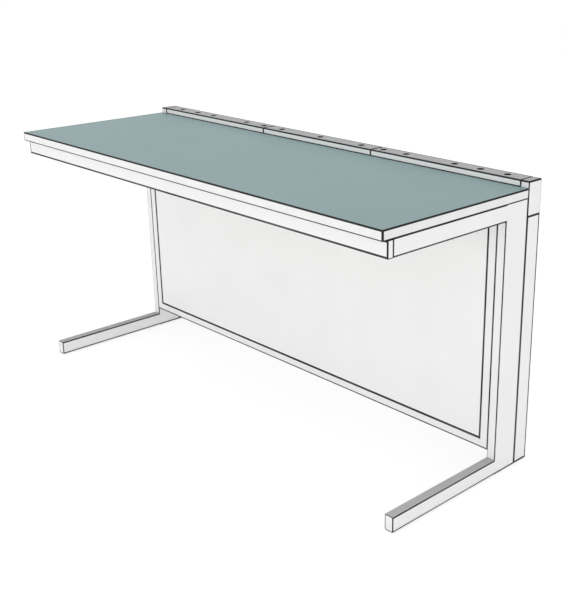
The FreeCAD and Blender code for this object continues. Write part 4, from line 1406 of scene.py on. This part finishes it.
@dataclass
class Sockets:
    """Black moulded bushes in the ledge, each held by a nut under the cover section."""

    sides: int = 72
    bore: float = 6.5
    depth: float = 45.0
    floor_edge: float = 0.6
    body: float = 9.0
    length: float = 48.0
    lead: float = 1.2
    flange: float = 11.0
    flange_height: float = 1.5
    flange_ease: float = 0.1
    mouth: float = 0.9
    chamfer: float = 0.45
    groove: float = 9.0
    groove_depth: float = 0.3
    pitch: float = 2.0
    nut_corner: float = 14.0
    nut_height: float = 6.0
    nut_bore: float = 9.05
    nut_lead: float = 0.5
    nut_face: float = 0.98

    def bush(self) -> Piece:
        """Turns one bush: chamfered mouth, grooved flange, threaded body and a closed floor.

        Returns:
            The bush, about the origin, with its mouth up.
        """
        top, floor = self.length / 2, self.length / 2 - self.depth
        flange = top - self.flange_height
        mouth = [(self.bore, top - self.mouth), (self.bore + self.mouth, top)]
        groove = [(self.groove - self.groove_depth, top), (self.groove, top - self.groove_depth),
                  (self.groove + self.groove_depth, top)]
        rim = [(self.flange - self.chamfer, top), (self.flange, top - self.chamfer),
               (self.flange, flange + self.flange_ease), (self.flange - self.flange_ease, flange)]
        return turned("socket_bush", [
            (0, floor), (self.bore - self.floor_edge, floor), (self.bore, floor + self.floor_edge), *mouth,
            *groove, *rim, (self.body, flange), *thread(self.body, flange, self.lead - top, self.pitch),
            (self.body - self.lead, -top), (0, -top)], self.sides)

    def nut(self) -> Piece:
        """Turns one nut: six sides, chamfered above and below.

        Returns:
            The nut, about the origin.
        """
        half, bore = self.nut_height / 2, self.nut_bore
        flat = self.nut_corner * math.cos(math.pi / 6) * self.nut_face
        return turned("socket_nut", [
            (bore, self.nut_lead - half), (bore + self.nut_lead, -half), (flat, -half),
            hexagon(self.nut_corner, -half, flat, -1), hexagon(self.nut_corner, half, flat, 1),
            (flat, half), (bore + self.nut_lead, half), (bore, half - self.nut_lead)],
            self.sides, ring=True)

    def dress(self, tree: Tree) -> None:
        """Stands the bushes and nuts in each cover section.

        Args:
            tree: The tree that stands a shape on its seats.
        """
        bush, nut = self.bush(), self.nut()
        for seed, part in enumerate(SECTIONS, 11):
            Scatter(f"sockets_{part}", seed=seed).stand(bush, tree)
            Scatter(f"socket_nuts_{part}", axis=2, seed=seed).stand(nut, tree)
        for pattern in (bush, nut):
            bpy.data.objects.remove(pattern)


@dataclass
class Ledge:
    """Service ledge: three cover sections with strips in a grey that is painted shade on the ledge's top,
    on brackets over the service rail.
    """

    hood_edge: float = 0.6
    strip_edge: float = 0.5
    bracket_edge: float = 0.3
    lip: float = 5.0

    def cover_boxes(self, name: str) -> list[Box]:
        """Gives a cover section's boxes: its front lip's ends at the worktop, where a dark line is painted
        along the joint.

        Args:
            name: The CAD cover section.

        Returns:
            Two boxes: down to the worktop in front, and the whole behind the lip.
        """
        low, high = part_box(name)
        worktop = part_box("worktop_surface")[1].z
        return [(Vector((low.x, low.y, worktop)), high), (low + Vector((0, self.lip * MM, 0)), high)]

    def dress(self, tree: Tree) -> None:
        """Dresses the cover sections and stands their sockets.

        Args:
            tree: The tree that stands a shape on its seats.
        """
        Carried([f"hood_{part}" for part in SECTIONS], self.hood_edge, Coat.white_coated_sheet,
                self.cover_boxes).dress()
        Carried([*(f"hood_inlay_{part}" for part in SECTIONS), "end_cap_inlays"], self.strip_edge).dress()
        Carried(["hood_hangers"], self.bracket_edge).dress()
        Sockets().dress(tree)


@dataclass
class BackPanel:
    """Folded steel infill that pushes on to clips inside the panel frame."""

    fold_edge: float = 0.7
    small_edge: float = 0.25

    def dress(self) -> None:
        """Dresses the panel, its studs and the clips."""
        Carried(["infill_panel"], self.fold_edge, Coat.white_coated_sheet).dress()
        Carried(["panel_studs", "panel_clips"], self.small_edge).dress()


@dataclass(frozen=True)
class Screw:
    """Sizes that every screw has, in millimetres. Its tip lies as far below its middle as its top above."""

    top: float
    seat: float
    head: float
    shank: float
    pitch: float
    drive: float                # corner radius or middle radius of the recess
    drive_depth: float
    lead: float                 # plain shank under the head
    taper: float                # how much thinner the tip is
    tail: float = 0.8           # plain shank at the tip

    def socket(self) -> Profile:
        """Gives the hexagon socket in its head.

        Returns:
            Its profile, from the axis outwards.
        """
        floor = self.top - self.drive_depth
        return [(0, floor), hexagon(self.drive, floor), hexagon(self.drive, self.top)]

    def stem(self) -> Profile:
        """Gives its threaded shank, from the seat to the tip.

        Returns:
            Its profile, down to the axis.
        """
        return [(self.shank, self.seat),
                *thread(self.shank, self.seat - self.lead, self.tail - self.top, self.pitch),
                (self.shank - self.taper, -self.top), (0, -self.top)]


@dataclass
class Fixings:
    """Screws, bolts, rivet nuts and the angle brackets they hold."""

    sides: int = 48
    bracket_edge: float = 0.3
    nut_edge: float = 0.25
    m8: Screw = Screw(12.0, 4.0, 6.5, 4.0, 1.25, drive=3.46, drive_depth=4.0, lead=0.8, taper=0.8)
    m6: Screw = Screw(6.6, 3.4, 5.5, 3.0, 1.0, drive=2.3, drive_depth=2.0, lead=0.5, taper=0.7)
    wood: Screw = Screw(11.3, 8.7, 5.0, 2.5, 1.8, drive=1.9, drive_depth=1.6, lead=0.6, taper=0.0, tail=5.0)
    knurls: int = 24
    knurl: float = 0.12
    knurl_from: float = 0.7
    knurl_to: float = 0.5
    cap_edge: float = 0.6
    crown: float = 2.6
    brim: float = 0.5
    brim_edge: float = 0.3
    dome: Sequence[float] = (0.0, 0.5, 0.95, 1.3, math.pi / 2)
    lobes: int = 6
    lobe: float = 0.3
    lobe_draft: float = 0.2
    pan: Sequence[Span] = ((1.4, 0.0), (0.4, 0.6), (0.0, 1.6))
    pan_undercut: float = 0.1
    point_width: float = 0.55
    point_length: float = 4.2

    def cap_screw(self) -> Piece:
        """Turns an M8 socket cap screw: knurled head, hexagon socket, threaded shank.

        Returns:
            The screw, about the origin, with its head up.
        """
        size, face = self.m8, self.m8.head - self.cap_edge
        grip = size.head - self.knurl
        return turned("cap_screw", [
            *size.socket(), (face, size.top),
            waved(grip, size.top - self.knurl_from, self.knurl, self.knurls),
            waved(grip, size.seat + self.knurl_to, self.knurl, self.knurls), (face, size.seat),
            *size.stem()], self.sides)

    def button_screw(self) -> Piece:
        """Turns an M6 thread-forming screw with a domed head and a hexagon socket.

        Returns:
            The screw, about the origin, with its head up.
        """
        size = self.m6
        foot = size.seat + self.brim
        dome = [(self.crown + (size.head - self.crown) * math.sin(turn),
                 foot + (size.top - foot) * math.cos(turn)) for turn in self.dome]
        return turned("button_screw", [*size.socket(), *dome, (size.head - self.brim_edge, size.seat),
                                       *size.stem()], self.sides)

    def wood_screw(self) -> Piece:
        """Turns a pan-head wood screw with a six-lobed recess and a point.

        Returns:
            The screw, about the origin, with its head up.
        """
        size = self.wood
        floor = size.top - size.drive_depth
        *stem, _, tip = size.stem()
        point = [(radius * self.point_width, height - self.point_length) for radius, height in stem[-2:]]
        return turned("wood_screw", [
            (0, floor), waved(size.drive - self.lobe_draft, floor, self.lobe, self.lobes),
            waved(size.drive, size.top, self.lobe, self.lobes),
            *((size.head - inwards, size.top - down) for inwards, down in self.pan),
            (size.head - self.pan_undercut, size.seat), *stem, *point, tip], self.sides)

    def dress(self, tree: Tree) -> None:
        """Stands the fasteners in their seats and dresses what they hold.

        Args:
            tree: The tree that stands a shape on its seats.
        """
        shapes = {"frame_bolts": self.cap_screw(), "bracket_screws": self.button_screw(),
                  "worktop_screws": self.wood_screw()}
        for seed, (name, shape) in enumerate(shapes.items(), 21):
            Scatter(name, seed=seed).stand(shape, tree)
            bpy.data.objects.remove(shape)
        Carried(["angle_brackets"], self.bracket_edge).dress()
        Carried(["rivet_nuts", "leveller_nut_blocks"], self.nut_edge).dress()


@dataclass
class Levellers:
    """Four levelling feet: a threaded spindle that swivels in a ribbed nylon pad."""

    sides: int = 72
    thread_radius: float = 5.0
    pitch: float = 1.5
    core: float = 4.15
    core_end: float = 0.8
    sunk: float = 0.42                  # how far the wound ridge stays inside the thread's radius
    collar: float = 7.0
    collar_height: float = 3.0
    collar_edge: float = 0.4
    run_in: float = 1.6                 # plain spindle between the collar and the thread
    plain: float = 3.6                  # plain spindle below and above the thread together
    key: float = 2.9
    key_depth: float = 12.0
    pad: float = 10.0
    pad_hole: float = 3.5
    pad_rib: float = 0.25
    pad_ribs: int = 18
    sole_edge: float = 1.4
    sole_height: float = 1.2
    crown_edge: float = 1.2
    crown_height: float = 1.0
    mouth: float = 5.3
    mouth_depth: float = 2.9
    pocket: float = 7.05
    pocket_floor: float = 2.0

    def spindle(self, name: str, tree: Tree) -> Piece:
        """Turns one spindle about the origin and winds its thread.

        Args:
            name: The CAD spindle, which gives the length.
            tree: The tree that winds the thread.

        Returns:
            The spindle as one plain mesh.
        """
        low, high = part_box(name)
        half = (high.z - low.z) / MM / 2
        neck, socket = -half + self.collar_height, -half + self.key_depth
        edge = self.collar_edge
        piece = turned(name + "_threaded", [
            (0, socket), hexagon(self.key, socket), hexagon(self.key, -half), (self.collar - edge, -half),
            (self.collar, -half + edge), (self.collar, neck - edge), (self.collar - edge, neck),
            (self.core, neck), (self.core, half - self.core_end), (self.core - self.core_end, half),
            (0, half)], self.sides)
        ridge = self.thread_radius - RIDGE * self.pitch / 2
        grown(piece, tree, Radius=(ridge - self.sunk) * MM, Pitch=self.pitch * MM,
              Length=(2 * half - self.collar_height - self.plain) * MM,
              Bottom=(neck + self.run_in) * MM, Material=Coat.zinc_plated_steel.material())
        return piece

    def foot(self, name: str) -> Piece:
        """Turns one pad about the origin: ribbed rim, a pocket for the collar and a hole for the key.

        Args:
            name: The CAD pad, which gives the height.

        Returns:
            The pad, closed on itself.
        """
        low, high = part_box(name)
        half = (high.z - low.z) / MM / 2
        rim = self.pad - self.pad_rib
        floor, ceiling = -half + self.pocket_floor, half - self.mouth_depth
        return turned(name + "_ribbed", [
            (self.pad_hole, -half), (self.pad - self.sole_edge, -half),
            waved(rim, -half + self.sole_height, self.pad_rib, self.pad_ribs),
            waved(rim, half - self.crown_height, self.pad_rib, self.pad_ribs),
            (self.pad - self.crown_edge, half), (self.mouth, half), (self.mouth, ceiling),
            (self.pocket, ceiling), (self.pocket, floor), (self.pad_hole, floor)], self.sides, ring=True)

    def dress(self) -> None:
        """Builds each leveller where its CAD pieces are."""
        tree = helix_tree()
        for where in ("front", "rear"):
            for side in SIDES:
                for kind in ("spindle", "pad"):
                    name = f"leveller_{kind}_{where}_{side}"
                    piece = self.spindle(name, tree) if kind == "spindle" else self.foot(name)
                    low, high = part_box(name)
                    piece.data.transform(Matrix.Translation((low + high) / 2))
                    hand_over(piece, coat_of(name), body_of(name), name)
                    LOG.info("%s built", piece.name)


# ---------------------------------------------------------------- studio

@dataclass(frozen=True)
class Softbox:
    """A square softbox: where it hangs and its side, in metres, and its power in watts."""

    name: str
    place: tuple[float, float, float]
    power: float
    side: float = 2.0


@dataclass
class Studio:
    """Plain pale floor, even light and the camera."""

    place: tuple[float, float, float] = (2.53616, -2.04337, 1.56889)
    turn: tuple[float, float, float] = (70.5, 0.0, 45.0)
    lens: float = 60.69
    shift: tuple[float, float] = (-0.1267, -0.0191)
    far: float = 100.0
    around: float = 0.84                # the world's strength as the bench's light
    floor_size: float = 40.0
    floor_grey: float = 0.92            # the floor's own tone, which throws light up on the bench
    floor_shadow: float = 0.42          # part of the floor's look that a shadow takes away
    floor_glow: float = 0.67            # part of it that stays
    aim: tuple[float, float, float] = (0.0, 0.0, 0.45)
    lamps: Sequence[Softbox] = (Softbox("front_softbox", (-0.4, -4.6, 0.9), 36.0),
                                Softbox("side_softbox", (5.2, -1.2, 1.0), 26.0),
                                Softbox("top_softbox", (0.0, -0.6, 4.4), 24.0))

    def camera(self) -> None:
        """Stands the camera in front of the bench's right end, a little above the worktop."""
        data = bpy.data.cameras.new("camera")
        data.lens = self.lens
        data.shift_x, data.shift_y = self.shift
        data.clip_end = self.far
        camera = linked("camera", data)
        camera.location = self.place
        camera.rotation_euler = [math.radians(angle) for angle in self.turn]
        bpy.context.scene.camera = camera

    def seen(self, tree: Tree) -> Socket:
        """Gives 1 for rays from the eye, by mirror or through glass, and 0 for the light's own.

        Args:
            tree: A material's or the world's node tree.

        Returns:
            That number.
        """
        rays = add(tree, "ShaderNodeLightPath").outputs
        either = add(tree, "ShaderNodeMath", {0: rays["Is Camera Ray"], 1: rays["Is Glossy Ray"]},
                     operation="MAXIMUM").outputs[0]
        return add(tree, "ShaderNodeMath", {0: either, 1: rays["Is Transmission Ray"]},
                   operation="MAXIMUM").outputs[0]

    def world(self) -> None:
        """Lights the bench evenly from all round, and shows white behind it."""
        world = bpy.data.worlds.new("studio")
        world.use_nodes = True
        bpy.context.scene.world = world
        tree = world.node_tree
        tree.nodes.clear()
        light, white = (add(tree, "ShaderNodeBackground", {"Color": linear("FFFFFF"), "Strength": strength})
                        for strength in (self.around, 1.0))
        mix = add(tree, "ShaderNodeMixShader",
                  {0: self.seen(tree), 1: light.outputs[0], 2: white.outputs[0]})
        add(tree, "ShaderNodeOutputWorld", {"Surface": mix.outputs[0]})

    def floor(self) -> None:
        """Lays a white floor that keeps a faint shadow of the bench."""
        material = bpy.data.materials.new("studio_floor")
        material.use_nodes = True
        tree = material.node_tree
        tree.nodes.clear()
        matt, thin = (add(tree, "ShaderNodeBsdfDiffuse", {"Color": (grey, grey, grey, 1)})
                      for grey in (self.floor_grey, self.floor_shadow))
        glow = add(tree, "ShaderNodeEmission", {"Color": linear("FFFFFF"), "Strength": self.floor_glow})
        shown = add(tree, "ShaderNodeAddShader", {0: thin.outputs[0], 1: glow.outputs[0]})
        mix = add(tree, "ShaderNodeMixShader",
                  {0: self.seen(tree), 1: matt.outputs[0], 2: shown.outputs[0]})
        add(tree, "ShaderNodeOutputMaterial", {"Surface": mix.outputs[0]})
        half = self.floor_size / 2
        mesh = bpy.data.meshes.new("floor")
        mesh.from_pydata([(-half, -half, 0), (half, -half, 0), (half, half, 0), (-half, half, 0)], [],
                         [(0, 1, 2, 3)])
        mesh.materials.append(material)
        floor = linked("floor", mesh)
        floor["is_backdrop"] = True

    def hang(self, box: Softbox) -> None:
        """Hangs a softbox that faces the bench.

        Args:
            box: The softbox.
        """
        data = bpy.data.lights.new(box.name, "AREA")
        data.size = box.side
        data.energy = box.power
        lamp = linked(box.name, data)
        lamp.location = box.place
        aim = Vector(self.aim) - Vector(box.place)
        lamp.rotation_euler = aim.to_track_quat("-Z", "Y").to_euler()

    def build(self) -> None:
        """Sets the whole studio."""
        bpy.context.scene.view_settings.view_transform = "Standard"
        self.camera()
        self.world()
        self.floor()
        for box in self.lamps:
            self.hang(box)


def clear_startup_objects() -> None:
    """Removes whatever a new file holds, so that only the bench counts."""
    ours = {*frame["nodes"].values(), *frame["bodies"].values()}
    for spare in [thing for thing in bpy.data.objects if thing not in ours]:
        bpy.data.objects.remove(spare)


def corners() -> list[list[float]]:
    """Gives the object's lowest and highest corner as plain lists."""
    return [list(corner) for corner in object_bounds()]


def main() -> None:
    """Builds and dresses the bench, sub-assembly by sub-assembly."""
    clear_startup_objects()
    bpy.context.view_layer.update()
    Studio().build()
    scatter = scatter_tree()
    Frames().dress()
    Caps().dress()
    Worktop().dress()
    ScuffStrips().dress()
    Ledge().dress(scatter)
    BackPanel().dress()
    Fixings().dress(scatter)
    Levellers().dress()


if __name__ == "__main__":
    logging.basicConfig(level=logging.INFO, format="%(name)s: %(message)s")
    main()
